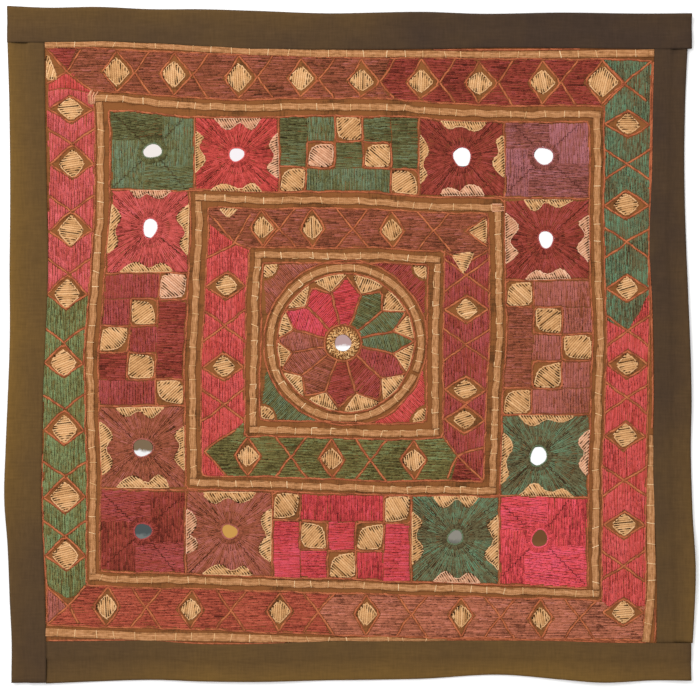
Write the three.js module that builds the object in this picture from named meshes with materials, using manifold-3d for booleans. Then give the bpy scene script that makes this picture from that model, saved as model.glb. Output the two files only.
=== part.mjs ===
// An embroidered mirror-work tablecloth, about 41 cm square, lying flat with its face up.
// Millimetres, +Z up, +Y towards the top edge, with the origin under the middle of the cloth.
// A ground panel carries raised satin stitch, flat braid couched down in frames, and small
// glass mirrors. Four folded cotton strips are sewn round it, over the panel's raw margin.

import * as THREE from "three";
import { mergeVertices } from "three/addons/utils/BufferGeometryUtils.js";
import Module from "manifold-3d";

const wasm = await Module();
wasm.setup();

// Driving dimensions
const GAP = 0.3; // clear space between neighbouring pieces
const CLOTH = 0.6; // one layer of the border cotton, or of the ground cloth
const SEAM_ALLOWANCE = 8.5; // margin of the panel that lies inside the folded strips
const SEAM_EASE = 0.5; // embroidered face stops this far inside the seam line
const STITCH_RISE = 0.5; // satin fields above the ground cloth
const MOTIF_RISE = 0.4; // gold motifs and petals above the satin fields
const PATCH_GAP = 0.9; // half of the bare ground between two satin fields
const BRAID_WIDTH = 4.3;
const BRAID_THICKNESS = 0.9;
const BRAID_CHANNEL = 7.5; // width of the bare ground that a braid lies in
const BUTT_CLEAR = GAP + 0.25; // from the slanting end of a braid to the braid that it meets
const RING_RADIUS = 45.3; // braid ring round the flower, at the middle of its width
const RING_CENTRE = [-2.7, 1.2];
const FLOWER_CENTRE = [-4.2, 1.2];
const MIRROR_RADIUS = 6;
const MIRROR_THICKNESS = 0.8;
const RIM_WIDTH = 2.2; // ring of stitches that holds a mirror
const RIM_PROUD = 0.3; // that ring above the glass
const FLOWER_MIRROR_RADIUS = 5.2;
const FLOWER_RIM_WIDTH = 4.8;

// Heights of the layers above the table
const GROUND_LOW = CLOTH + GAP;
const GROUND_TOP = GROUND_LOW + CLOTH;
const FIELD_TOP = GROUND_TOP + STITCH_RISE;
const MOTIF_TOP = FIELD_TOP + MOTIF_RISE;
const LAID_ON = GROUND_TOP + GAP; // underside of braid, mirrors and the strips' upper layer
const RIM_TOP = LAID_ON + MIRROR_THICKNESS + RIM_PROUD;
const FUSE = 0.2; // depth to which a raised shape is sunk into the one below it

// How finely curved shapes are divided
const STRIP_STEP = 18; // distance between the sections of a border strip
const LINE_STEP = 22; // longest straight stretch of a drawn line
const RING_STEPS = 44;
const MIRROR_SIDES = 18;

// Rows of numbers as records with named columns.
function table(columns, rows) {
  const names = columns.split(" ");
  return rows.map((row) => Object.fromEntries(names.map((name, i) => [name, row[i]])));
}

// Border strips: a row for each place along the strip, with its outer edge, its seam with the
// panel, and how far its slack outer edge stands off the table. The rows of all four run
// anticlockwise round the cloth.
const TOP_STRIP = table("along outer seam lift", [
  [204.9, 198.6, 177.9, 2.2],
  [180, 198.6, 177.6, 0.6],
  [126, 199.2, 178.2, 0.5],
  [78, 198.6, 178.2, 0],
  [48, 199.5, 177.6, 0.9],
  [-18, 198.9, 177.3, 0],
  [-60, 200.4, 177.6, 0.4],
  [-90, 201.3, 179.1, 0],
  [-120, 201.3, 180.9, 0.2],
  [-150, 202.5, 182.1, 1.2],
  [-183, 202.2, 181.5, 0.6],
  [-205.5, 203.1, 181.6, 1.6],
]);
const LEFT_STRIP = table("along outer seam lift", [
  [180.9, -205.2, -183.3, 0.8],
  [147, -204.3, -183, 0],
  [87, -203.7, -181.8, 0],
  [45, -204, -181.1, 0.5],
  [3, -204, -182.7, 0],
  [-33, -205.2, -184.2, 0.4],
  [-63, -206.3, -184.8, 1.4],
  [-93, -207, -185.3, 2],
  [-120, -205.2, -184.2, 0.8],
  [-153, -204, -183, 0],
  [-178, -202.8, -182.4, 0.4],
  [-202.5, -202.8, -182.4, 1.3],
]);
const BOTTOM_STRIP = table("along outer seam lift", [
  [-181.9, -202.8, -177.9, 0.5],
  [-150, -201.6, -177.6, 0],
  [-120, -200.7, -177.3, 0],
  [-90, -201.6, -179.4, 0.6],
  [-60, -201.9, -179.4, 1],
  [-12, -201, -177.6, 0],
  [42, -200.1, -177.3, 0],
  [93, -197.7, -177.3, 0],
  [126, -200.4, -177.6, 0.6],
  [150, -202.2, -178.5, 1.6],
  [183.6, -201, -178.8, 0.4],
  [204, -201, -178.8, 1.8],
]);
const RIGHT_STRIP = table("along outer seam lift", [
  [-177.9, 206.4, 183.9, 0.6],
  [-159, 206.4, 184.2, 1.2],
  [-138, 207, 183.9, 2.2],
  [-99, 205.2, 182.7, 0.8],
  [-63, 204.3, 181.8, 0.3],
  [-33, 204.6, 182.4, 1.2],
  [27, 202.8, 181.4, 0.8],
  [57, 201.6, 179.7, 0.3],
  [111, 200.4, 181.4, 0],
  [147, 201, 181.8, 0],
  [177.1, 202.2, 182.7, 0.7],
]);

// The design's nested squares, each by its corners from top left round to bottom left: the edges
// of the satin bands, and the middle lines of the braid frames between them.
const SQUARES = {
  outerBandOutside: [[-182.4, 177], [181.2, 171], [177, -177], [-182.4, -168.6]],
  outerBandInside: [[-154.8, 151.8], [152.4, 144], [150.6, -153], [-158.4, -144.6]],
  wideBraid: [[-151.2, 147.6], [148.2, 138.6], [147, -148.8], [-154.8, -139.5]],
  patchesOutside: [[-145.8, 140.4], [144, 134.4], [142.8, -145.8], [-150, -135.6]],
  patchesInside: [[-96.6, 93.3], [93, 87.6], [90, -91.2], [-98.7, -86.4]],
  middleBraid: [[-91.8, 88.2], [88.8, 82.2], [85.8, -87.6], [-94.5, -82.8]],
  innerBandOutside: [[-86.4, 82.8], [83.4, 78.9], [80.7, -82.2], [-89.4, -78.6]],
  innerBandInside: [[-61.8, 58.8], [55.5, 56.4], [55.8, -55.8], [-63, -54.6]],
  narrowBraid: [[-56.4, 54], [51, 51], [51, -52.2], [-58.5, -50.7]],
  flowerSquare: [[-52.8, 49.2], [46.2, 48], [46.2, -46.8], [-54, -45.6]],
};

const HALF_DESIGN = 182;

// Where the needle has drawn the design off its straight lines: the middle of each pull, how far
// it reaches, and how far the design moves aside and up there.
const PULLS = table("x y reachX reachY aside up", [
  [-152, 100, 60, 76, 2.6, 0],
  [-150, -15, 100, 64, -2.6, 0],
  [-188, -85, 34, 68, -2.6, 0],
  [-75, 62, 50, 40, 1.8, 0],
  [-75, 146, 72, 38, 0, -2.8],
  [20, 163, 85, 17, 0, -2.8],
  [90, 148, 72, 40, 0, -2.1],
  [148, -2, 48, 75, 2.1, 0],
  [88, 12, 38, 70, 2, 0],
  [52, 48, 24, 24, 1.5, 0],
  [0, 86, 52, 24, 0, 1.5],
  [8, 52, 34, 20, 0, 1.2],
  [15, -68, 48, 48, 0, -1.2],
  [30, -177, 170, 14, 0, -1.8],
]);

// Gold diamonds of the two satin bands: half their size, and their places along each side, as X
// on the top and bottom and as Y on the left and right.
const DIAMOND_ALONG = 6.4;
const DIAMOND_ACROSS = 6.8;
const OUTER_DIAMONDS = {
  top: [-140.4, -105.6, -66.6, -29.4, 6.6, 42.6, 77.4, 115.8, 151.2],
  right: [132.6, 84, 34.2, -11.4, -54.6, -108, -160.2],
  bottom: [-145.8, -95.4, -42.6, 9.6, 66.6, 114.6],
  left: [141.6, 108.6, 68.4, 30.6, -10.8, -51, -91.2, -126.6],
};
const INNER_DIAMONDS = {
  top: [-53.4, -22.8, 25.2],
  right: [52.2, 21.6, -27, -45],
  bottom: [-61.2, -10.8, 38.4],
  left: [35.4, -13.2],
};

// Patches between the wide and middle braids: where each strip of patches is cut, as shares of
// its length, and what is worked on each patch. A mirror may sit off the middle of its patch.
const PATCH_CUTS = {
  top: [0, 0.181, 0.356, 0.646, 0.824, 1],
  right: [0, 0.272, 0.725, 1],
  bottom: [0, 0.176, 0.353, 0.638, 0.818, 1],
  left: [0, 0.278, 0.724, 1],
};
const PATCHES = table("name strip number work mirrorX mirrorY", [
  ["top_left", "top", 0, "plain", 0, 0],
  ["top_second", "top", 1, "star", 0, -0.8],
  ["top_middle", "top", 2, "chevron"],
  ["top_fourth", "top", 3, "star", 0, 0.2],
  ["top_right", "top", 4, "plain", -2.4, 1.8],
  ["right_second", "right", 0, "star", -0.7, 0],
  ["right_middle", "right", 1, "chevron"],
  ["right_fourth", "right", 2, "star", -3.7, 0],
  ["bottom_right", "bottom", 4, "plain", -2.4, 1.8],
  ["bottom_fourth", "bottom", 3, "star", 0, 1.2],
  ["bottom_middle", "bottom", 2, "chevron"],
  ["bottom_second", "bottom", 1, "star", 0.4, 1.2],
  ["bottom_left", "bottom", 0, "plain", 0.1, 0],
  ["left_fourth", "left", 2, "star", 0.1, 0],
  ["left_middle", "left", 1, "chevron"],
  ["left_second", "left", 0, "star", 0.9, 1.8],
]);

// A star patch has a two-humped gold scallop on each side: shares of the side's length, and of
// the patch's depth.
const SCALLOP = table("along depth", [
  [0.2, 0.03],
  [0.34, 0.13],
  [0.5, 0.06],
  [0.66, 0.13],
  [0.8, 0.03],
]);

// A chevron patch is five columns by three rows of blocks, with gold ones stepping outwards to
// a point.
const BLOCK_COLUMNS = 5;
const BLOCK_ROWS = 3;
const BLOCK_INSET = 0.07; // ground round a block, as a share of the block
const CHEVRON = table("column row", [[0, 2], [1, 1], [2, 0], [3, 1], [4, 2]]);

// The flower: petals in a wheel, with a gold wedge between the tips of each pair.
const PETALS = 12;
const PETAL = table("radius halfWidth", [[11.6, 1.9], [22, 4.3], [31, 6.4], [38.5, 0]]);
const WEDGE = table("radius halfWidth", [[31.5, 0.5], [40, 5.6]]);

// Corners that the ring leaves in the flower's square: the turn to each, and the arc along it.
const SPANDREL_TURNS = [-45, 45, 135, 225].map(THREE.MathUtils.degToRad);
const SPANDREL_ARC = [-25, -12, 0, 12, 25].map(THREE.MathUtils.degToRad);
const RING_CLEAR = BRAID_CHANNEL / 2;

// Braid along the panel's edge, beside a border strip: where it starts and ends along the seam,
// and its distance inside the seam there.
const EDGE_BRAIDS = table("strip start end insideStart insideEnd", [
  ["top", -181, 181, 2.7, 2.9],
  ["right", -52, -176, 2.5, 4.8],
  ["bottom", -181, 42, 4.9, 2.7],
]);
const RING_MOUTH = 0.05; // angle between the two ends of the ring's braid
const RING_START = -Math.PI / 8;

// Colours and finishes
const COTTON = new THREE.MeshStandardMaterial({ color: 0x4c3b2c, roughness: 0.95, metalness: 0 });
const EMBROIDERY = new THREE.MeshStandardMaterial({ color: 0x93383c, roughness: 0.7, metalness: 0 });
const BRAID = new THREE.MeshStandardMaterial({ color: 0xb0824a, roughness: 0.75, metalness: 0 });
const GLASS = new THREE.MeshStandardMaterial({ color: 0xe6e6e8, roughness: 0.06, metalness: 1 });

// Points, lines and four-cornered shapes

const mix = (a, b, share) => a.map((value, i) => value + (b[i] - value) * share);
const lengthOf = (a, b) => Math.hypot(b[0] - a[0], b[1] - a[1]);
const evenShares = (steps) => Array.from({ length: steps + 1 }, (_, k) => k / steps);

// A point of the design where the needle has pulled it to.
function pulled([x, y]) {
  const moved = [x, y];
  for (const pull of PULLS) {
    const away = ((x - pull.x) / pull.reachX) ** 2 + ((y - pull.y) / pull.reachY) ** 2;
    const weight = Math.max(0, 1 - away) ** 2;
    moved[0] += pull.aside * weight;
    moved[1] += pull.up * weight;
  }
  return moved;
}

// A straight line as drawn by hand on the cloth.
function drawnLine(from, to) {
  const steps = Math.ceil(lengthOf(from, to) / LINE_STEP);
  return evenShares(steps).map((share) => pulled(mix(from, to, share)));
}

function drawnOutline(corners) {
  return corners.flatMap((from, i) => drawnLine(from, corners[(i + 1) % corners.length]).slice(0, -1));
}

// A point of a four-cornered shape: the first share runs along its outer side, the second inwards.
const inQuad = ([a, b, c, d], along, inward) => mix(mix(a, b, along), mix(d, c, along), inward);

// A four-cornered shape made smaller by the same distance on all its sides.
function drawnIn(quad, distance) {
  const along = distance / lengthOf(quad[0], quad[1]);
  const inward = distance / lengthOf(quad[0], quad[3]);
  const corners = [[along, inward], [1 - along, inward], [1 - along, 1 - inward], [along, 1 - inward]];
  return corners.map(([s, t]) => inQuad(quad, s, t));
}

// The two corners of a square that each of its sides joins.
const SIDES = { top: [0, 1], right: [1, 2], bottom: [3, 2], left: [0, 3] };
const isLevel = (side) => side === "top" || side === "bottom";

// One side of the band between two nested squares, mitred at its corners.
function bandSide(outside, inside, side) {
  const [from, to] = SIDES[side];
  return [outside[from], outside[to], inside[to], inside[from]];
}

// Solids

// A closed geometry as a solid that can be joined and cut.
function solidOf(geometry) {
  geometry.deleteAttribute("normal");
  geometry.deleteAttribute("uv");
  const merged = mergeVertices(geometry, 1e-4);
  const vertProperties = merged.attributes.position.array;
  const triVerts = new Uint32Array(merged.index.array);
  return new wasm.Manifold(new wasm.Mesh({ numProp: 3, vertProperties, triVerts }));
}

function geometryOf(solid) {
  const { vertProperties, triVerts } = solid.getMesh();
  const geometry = new THREE.BufferGeometry();
  geometry.setAttribute("position", new THREE.BufferAttribute(vertProperties, 3));
  geometry.setIndex(new THREE.BufferAttribute(triVerts, 1));
  geometry.computeVertexNormals();
  return geometry;
}

const joined = (solids) => solids.reduce((all, one) => all.add(one));

// An upright prism on an outline of points.
function prism(outline, low, high) {
  const shape = new THREE.Shape(outline.map(([x, y]) => new THREE.Vector2(x, y)));
  const geometry = new THREE.ExtrudeGeometry(shape, { depth: high - low, bevelEnabled: false });
  return solidOf(geometry.translate(0, 0, low));
}

function disc([x, y], radius, low, high) {
  const geometry = new THREE.CylinderGeometry(radius, radius, high - low, MIRROR_SIDES);
  return geometry.rotateX(Math.PI / 2).translate(x, y, (low + high) / 2);
}

// A solid through rings that all follow one section, closed by flat ends. The section runs
// anticlockwise as seen from the last ring.
function loft(rings, section) {
  const count = section.length;
  const last = (rings.length - 1) * count;
  const index = [];
  for (let start = 0; start < last; start += count) {
    for (let i = 0; i < count; i++) {
      const next = (i + 1) % count;
      index.push(start + i, start + next, start + count + next);
      index.push(start + i, start + count + next, start + count + i);
    }
  }
  for (const [a, b, c] of THREE.ShapeUtils.triangulateShape(section, [])) {
    index.push(c, b, a, last + a, last + b, last + c);
  }
  const geometry = new THREE.BufferGeometry();
  geometry.setAttribute("position", new THREE.Float32BufferAttribute(rings.flat(2), 3));
  geometry.setIndex(index);
  geometry.computeVertexNormals();
  return geometry;
}

// Border strips

// A column of a strip's table as a smooth function of the place along the strip.
function columnCurve(rows, column) {
  const ordered = [...rows].sort((a, b) => a.along - b.along);
  const places = ordered.map((row) => row.along);
  const curve = new THREE.CubicInterpolant(places, ordered.map((row) => row[column]), 1);
  return (along) => curve.evaluate(THREE.MathUtils.clamp(along, places[0], places.at(-1)))[0];
}

function curvedStrip(side, rows) {
  return {
    rows,
    outer: columnCurve(rows, "outer"),
    seam: columnCurve(rows, "seam"),
    lift: columnCurve(rows, "lift"),
    point: (along, place) => (isLevel(side) ? [along, place] : [place, along]),
  };
}
const STRIPS = {
  top: curvedStrip("top", TOP_STRIP),
  left: curvedStrip("left", LEFT_STRIP),
  bottom: curvedStrip("bottom", BOTTOM_STRIP),
  right: curvedStrip("right", RIGHT_STRIP),
};

// Section of a folded strip: a lower and an upper layer joined by the fold at the outer edge, the
// upper one stepping up over the panel's margin. Distances are from the fold or from the seam.
const FOLD_NOSE = 0.7;
const FOLD_INSIDE = 1.4;
const FOLD_BLUNT = 0.4;
const STEP_FROM = SEAM_ALLOWANCE + 3;
const STEP_TO = SEAM_ALLOWANCE + 0.6;
const FLAT_TOP = 2 * CLOTH + GAP; // upper layer's face where nothing lies inside the strip
const STRIP_SECTION = table("from distance height", [
  ["seam", 0, 0],
  ["seam", 0, CLOTH],
  ["seam", STEP_FROM, CLOTH],
  ["fold", FOLD_INSIDE, CLOTH],
  ["fold", FOLD_INSIDE, CLOTH + GAP],
  ["seam", STEP_FROM, CLOTH + GAP],
  ["seam", STEP_TO, LAID_ON],
  ["seam", 0, LAID_ON],
  ["seam", 0, LAID_ON + CLOTH],
  ["seam", STEP_TO, LAID_ON + CLOTH],
  ["seam", STEP_FROM, FLAT_TOP],
  ["fold", FOLD_NOSE, FLAT_TOP],
  ["fold", 0, FLAT_TOP - FOLD_BLUNT],
  ["fold", 0, FOLD_BLUNT],
  ["fold", FOLD_NOSE, 0],
  ["seam", STEP_FROM, 0],
]);
const fromFold = ({ from, distance }, width) => (from === "fold" ? distance : width - distance);

function borderStrip({ rows, outer, seam, lift, point }) {
  const [first, last] = [rows[0].along, rows.at(-1).along];
  const steps = Math.ceil(Math.abs(last - first) / STRIP_STEP);
  const rings = evenShares(steps).map((share) => {
    const along = first + (last - first) * share;
    const [edge, joint] = [outer(along), seam(along)];
    const width = Math.abs(joint - edge);
    return STRIP_SECTION.map((corner) => {
      const inside = fromFold(corner, width);
      const slack = Math.max(0, 1 - inside / (width - STEP_FROM));
      const raise = Math.max(0, lift(along)) * slack ** 2;
      const place = THREE.MathUtils.lerp(edge, joint, inside / width);
      return [...point(along, place), corner.height + raise];
    });
  });
  const firstWidth = Math.abs(rows[0].seam - rows[0].outer);
  const section = STRIP_SECTION.map(
    (corner) => new THREE.Vector2(fromFold(corner, firstWidth), corner.height),
  );
  return loft(rings, section);
}

// Braid

// Domed section of the flat braid: shares of its width and of its thickness.
const BRAID_SECTION = table("across up", [
  [0.5, 0],
  [0.5, 0.5],
  [0.25, 1],
  [-0.25, 1],
  [-0.5, 0.5],
  [-0.5, 0],
]);

// Braid along a line of points, from one height to another.
function braidAlong(line, width, low, high) {
  const section = BRAID_SECTION.map(({ across, up }) => new THREE.Vector2(across * width, up * (high - low)));
  const rings = line.map(([x, y], i) => {
    const before = line[Math.max(i - 1, 0)];
    const after = line[Math.min(i + 1, line.length - 1)];
    const [dx, dy] = mix([0, 0], [after[0] - before[0], after[1] - before[1]], 1 / lengthOf(before, after));
    return section.map(({ x: across, y: up }) => [x + dy * across, y - dx * across, low + up]);
  });
  return loft(rings.reverse(), section);
}

// A line of points with both its ends run on by a distance.
function runOn(line, distance) {
  const past = (end, next) => mix(end, next, -distance / lengthOf(end, next));
  return [past(line[0], line[1]), ...line.slice(1, -1), past(line.at(-1), line.at(-2))];
}

// The level braids of a square frame run past its corners, and the upright ones butt against them.
function frameLine(corners, side) {
  const [from, to] = SIDES[side].map((number) => corners[number]);
  const trim = isLevel(side) ? -BRAID_WIDTH / 2 : BRAID_WIDTH / 2 + BUTT_CLEAR;
  const share = trim / lengthOf(from, to);
  return drawnLine(mix(from, to, share), mix(from, to, 1 - share));
}

function edgeLine({ strip, start, end, insideStart, insideEnd }) {
  const { seam, outer, point } = STRIPS[strip];
  const inward = Math.sign(seam(start) - outer(start));
  const steps = Math.ceil(Math.abs(end - start) / LINE_STEP);
  return evenShares(steps).map((share) => {
    const along = start + (end - start) * share;
    return point(along, seam(along) + inward * (insideStart + (insideEnd - insideStart) * share));
  });
}

function ringLine() {
  return evenShares(RING_STEPS).map((share) => {
    const angle = RING_START + (2 * Math.PI - RING_MOUTH) * share;
    return [RING_CENTRE[0] + RING_RADIUS * Math.cos(angle), RING_CENTRE[1] + RING_RADIUS * Math.sin(angle)];
  });
}

const BRAID_LINES = [
  ...EDGE_BRAIDS.map((row) => ({ name: `edge_${row.strip}`, line: edgeLine(row) })),
  ...["wide", "middle", "narrow"].flatMap((frame) =>
    Object.keys(SIDES).map((side) => ({
      name: `${frame}_${side}`,
      line: frameLine(SQUARES[`${frame}Braid`], side),
    })),
  ),
  { name: "ring", line: ringLine() },
];

// Panel

// The panel's outline at a distance outside the seam line, or inside it where that is negative.
function panelOutline(distance) {
  const { top, right, bottom, left } = STRIPS;
  const seams = [
    ([x]) => [x, top.seam(x) + distance],
    ([, y]) => [right.seam(y) + distance, y],
    ([x]) => [x, bottom.seam(x) - distance],
    ([, y]) => [left.seam(y) - distance, y],
  ];
  const [west, east] = [-HALF_DESIGN, HALF_DESIGN];
  const corners = [
    [left.seam(east) - distance, top.seam(west) + distance],
    [right.seam(east) + distance, top.seam(east) + distance],
    [right.seam(west) + distance, bottom.seam(east) - distance],
    [left.seam(west) - distance, bottom.seam(west) - distance],
  ];
  const shares = evenShares(Math.round((2 * HALF_DESIGN) / STRIP_STEP)).slice(1, -1);
  return corners.flatMap((from, i) => [
    from,
    ...shares.map((share) => seams[i](mix(from, corners[(i + 1) % corners.length], share))),
  ]);
}

// Satin fields of a band: one on each side, parted at the mitres.
function bandFields(outside, inside) {
  return Object.keys(SIDES).map((side) => drawnIn(bandSide(outside, inside, side), PATCH_GAP));
}

function bandDiamonds(outside, inside, places) {
  return Object.entries(places).flatMap(([side, alongs]) => {
    const [a, b, c, d] = bandSide(outside, inside, side);
    const [from, to] = [mix(a, d, 0.5), mix(b, c, 0.5)];
    const axis = isLevel(side) ? 0 : 1;
    const [halfX, halfY] = isLevel(side) ? [DIAMOND_ALONG, DIAMOND_ACROSS] : [DIAMOND_ACROSS, DIAMOND_ALONG];
    return alongs.map((along) => {
      const [x, y] = mix(from, to, (along - from[axis]) / (to[axis] - from[axis]));
      return [[x + halfX, y], [x, y + halfY], [x - halfX, y], [x, y - halfY]];
    });
  });
}

// The four strips of patches: the top and bottom ones take the corners.
function patchStrips() {
  const [outerNW, outerNE, outerSE, outerSW] = SQUARES.patchesOutside;
  const [innerNW, innerNE, innerSE, innerSW] = SQUARES.patchesInside;
  const northWest = [outerNW[0], innerNW[1]];
  const northEast = [outerNE[0], innerNE[1]];
  const southEast = [outerSE[0], innerSE[1]];
  const southWest = [outerSW[0], innerSW[1]];
  return {
    top: [outerNW, outerNE, northEast, northWest],
    right: [northEast, southEast, innerSE, innerNE],
    bottom: [outerSW, outerSE, southEast, southWest],
    left: [northWest, southWest, innerSW, innerNW],
  };
}
const PATCH_STRIPS = patchStrips();

function patchQuad({ strip, number }) {
  const [from, to] = PATCH_CUTS[strip].slice(number, number + 2);
  const corners = [[from, 0], [to, 0], [to, 1], [from, 1]];
  return drawnIn(corners.map(([s, t]) => inQuad(PATCH_STRIPS[strip], s, t)), PATCH_GAP);
}

function starScallops(quad) {
  return quad.map((_, turn) => {
    const turned = [...quad.slice(turn), ...quad.slice(0, turn)];
    return SCALLOP.map(({ along, depth }) => inQuad(turned, along, depth));
  });
}

function chevronBlocks(quad) {
  return CHEVRON.map(({ column, row }) => {
    const [near, far] = [BLOCK_INSET, 1 - BLOCK_INSET];
    const corners = [[near, near], [far, near], [far, far], [near, far]];
    return corners.map(([s, t]) => inQuad(quad, (column + s) / BLOCK_COLUMNS, (row + t) / BLOCK_ROWS));
  });
}

// A shape of the flower, widening and narrowing along a line out from the flower's centre.
function flowerShape(rows, turn) {
  const [sin, cos] = [Math.sin(turn), Math.cos(turn)];
  const beside = (radius, side) => [
    FLOWER_CENTRE[0] + radius * sin + side * cos,
    FLOWER_CENTRE[1] + radius * cos - side * sin,
  ];
  const right = rows.map(({ radius, halfWidth }) => beside(radius, halfWidth));
  const wide = rows.filter(({ halfWidth }) => halfWidth > 0);
  const left = wide.map(({ radius, halfWidth }) => beside(radius, -halfWidth));
  return [...right, ...left.reverse()];
}
const flowerTurns = (offset) =>
  Array.from({ length: PETALS }, (_, k) => ((k + offset) * 2 * Math.PI) / PETALS);

function ringArc(radius, turns) {
  return turns.map((turn) => [
    RING_CENTRE[0] + radius * Math.sin(turn),
    RING_CENTRE[1] + radius * Math.cos(turn),
  ]);
}

function spandrels() {
  return SQUARES.flowerSquare.map((corner, i) => {
    const turns = SPANDREL_ARC.map((turn) => SPANDREL_TURNS[i] + turn);
    return [corner, ...ringArc(RING_RADIUS + RING_CLEAR, turns)];
  });
}

const MIRRORS = [
  ...PATCHES.filter((row) => row.work !== "chevron").map((row) => {
    const [x, y] = pulled(inQuad(patchQuad(row), 0.5, 0.5));
    return {
      name: row.name,
      centre: [x + row.mirrorX, y + row.mirrorY],
      radius: MIRROR_RADIUS,
      rim: RIM_WIDTH,
    };
  }),
  { name: "flower", centre: FLOWER_CENTRE, radius: FLOWER_MIRROR_RADIUS, rim: FLOWER_RIM_WIDTH },
];

function satinFields() {
  const circle = evenShares(RING_STEPS).slice(1).map((share) => share * 2 * Math.PI);
  return [
    ...bandFields(SQUARES.outerBandOutside, SQUARES.outerBandInside),
    ...bandFields(SQUARES.innerBandOutside, SQUARES.innerBandInside),
    ...PATCHES.map(patchQuad),
    ...spandrels(),
    ringArc(RING_RADIUS - RING_CLEAR, circle),
  ];
}

function raisedMotifs() {
  const quadsOf = (work) => PATCHES.filter((row) => row.work === work).map(patchQuad);
  return [
    ...bandDiamonds(SQUARES.outerBandOutside, SQUARES.outerBandInside, OUTER_DIAMONDS),
    ...bandDiamonds(SQUARES.innerBandOutside, SQUARES.innerBandInside, INNER_DIAMONDS),
    ...quadsOf("star").flatMap(starScallops),
    ...quadsOf("chevron").flatMap(chevronBlocks),
    ...flowerTurns(0).map((turn) => flowerShape(PETAL, turn)),
    ...flowerTurns(0.5).map((turn) => flowerShape(WEDGE, turn)),
  ];
}

// Ground cloth with its raised stitching, with a channel for each braid and a well for each mirror.
function embroideredPanel() {
  const raised = joined([
    ...satinFields().map((corners) => prism(drawnOutline(corners), GROUND_TOP - FUSE, FIELD_TOP)),
    ...raisedMotifs().map((corners) => prism(drawnOutline(corners), FIELD_TOP - FUSE, MOTIF_TOP)),
    ...MIRRORS.map(({ centre, radius, rim }) =>
      solidOf(disc(centre, radius + GAP + rim, GROUND_TOP - FUSE, RIM_TOP)),
    ),
  ]);
  const channels = BRAID_LINES.map(({ line }) => {
    const bed = runOn(line, GAP);
    return solidOf(braidAlong(bed, BRAID_CHANNEL, GROUND_TOP - 2 * FUSE, RIM_TOP + BRAID_THICKNESS));
  });
  const insideSeam = prism(panelOutline(-SEAM_EASE), 0, RIM_TOP + FUSE);
  const face = channels.reduce((all, channel) => all.subtract(channel), raised).intersect(insideSeam);
  const margin = prism(panelOutline(SEAM_ALLOWANCE), GROUND_LOW, GROUND_TOP);
  const backing = prism(panelOutline(-SEAM_EASE), 0, GROUND_TOP);
  const wells = MIRRORS.map(({ centre, radius }) =>
    solidOf(disc(centre, radius + GAP, GROUND_TOP, RIM_TOP + FUSE)),
  );
  return geometryOf(wells.reduce((all, well) => all.subtract(well), joined([margin, backing, face])));
}

// The whole cloth

const cloth = new THREE.Group();
function fit(name, geometry, material) {
  const piece = new THREE.Mesh(geometry, material);
  piece.name = name;
  cloth.add(piece);
}

fit("panel", embroideredPanel(), EMBROIDERY);
for (const [side, strip] of Object.entries(STRIPS)) {
  fit(`strip_${side}`, borderStrip(strip), COTTON);
}
for (const { name, line } of BRAID_LINES) {
  fit(`braid_${name}`, braidAlong(line, BRAID_WIDTH, LAID_ON, LAID_ON + BRAID_THICKNESS), BRAID);
}
for (const { name, centre, radius } of MIRRORS) {
  fit(`mirror_${name}`, disc(centre, radius, LAID_ON, LAID_ON + MIRROR_THICKNESS), GLASS);
}

export default cloth;
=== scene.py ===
# An embroidered mirror-work tablecloth, lying flat with its face up.
# Meshes are in metres. The drawn design is in millimetres from the middle of the cloth, with +Y
# towards the top edge, and it is turned to metres where a mesh is made from it.
import math
from types import SimpleNamespace
import bpy
import numpy as np
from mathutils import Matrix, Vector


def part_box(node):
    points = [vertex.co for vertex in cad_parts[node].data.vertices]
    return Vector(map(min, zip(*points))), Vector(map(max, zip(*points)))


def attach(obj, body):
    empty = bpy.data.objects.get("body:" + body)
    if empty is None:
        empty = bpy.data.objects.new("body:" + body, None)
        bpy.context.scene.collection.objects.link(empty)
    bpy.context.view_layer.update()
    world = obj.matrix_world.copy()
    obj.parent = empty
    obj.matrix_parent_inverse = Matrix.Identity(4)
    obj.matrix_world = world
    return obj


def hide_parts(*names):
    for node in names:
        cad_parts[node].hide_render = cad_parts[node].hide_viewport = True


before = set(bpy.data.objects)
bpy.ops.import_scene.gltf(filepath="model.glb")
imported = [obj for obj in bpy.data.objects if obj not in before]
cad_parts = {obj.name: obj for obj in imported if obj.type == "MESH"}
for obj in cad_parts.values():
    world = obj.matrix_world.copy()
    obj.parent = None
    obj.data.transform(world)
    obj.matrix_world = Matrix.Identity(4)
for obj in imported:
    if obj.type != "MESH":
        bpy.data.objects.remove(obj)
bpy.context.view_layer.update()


# Ground cloth
# One square of brown cotton in plain weave, which carries all the stitching. Its raw margin is tucked
# into the folded border, and the needle has drawn it in here and there, so it isn't quite level.
MM = 0.001
GROUND_TOP = 1.5 * MM
GROUND_THICKNESS = 0.6 * MM
GROUND_TUCK = 4 * MM  # edge of the cloth inside the edge of its solid
GROUND_CELLS = 72
BACKING_FROM = 10 * MM  # the back of the stitching starts to fill the space below the cloth
BACKING_TO = 13 * MM  # and reaches the table
PUCKER = 0.1 * MM
PUCKER_WAVE = 26 * MM
WEAVE_PITCH = 0.5 * MM
WEAVE_DEPTH = 0.08 * MM
CROSSING_SHARE = 0.4  # of the weave's height that its crossings make; slubs make the rest
SLUBS = (900, 110)  # for each metre, across the yarn and along it
GROUND_DARK = "54341a"
GROUND_LIGHT = "7c4c28"
GROUND_TONES = (0.75, 1.0)  # values where the cloth is dark, and where it is light


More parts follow.
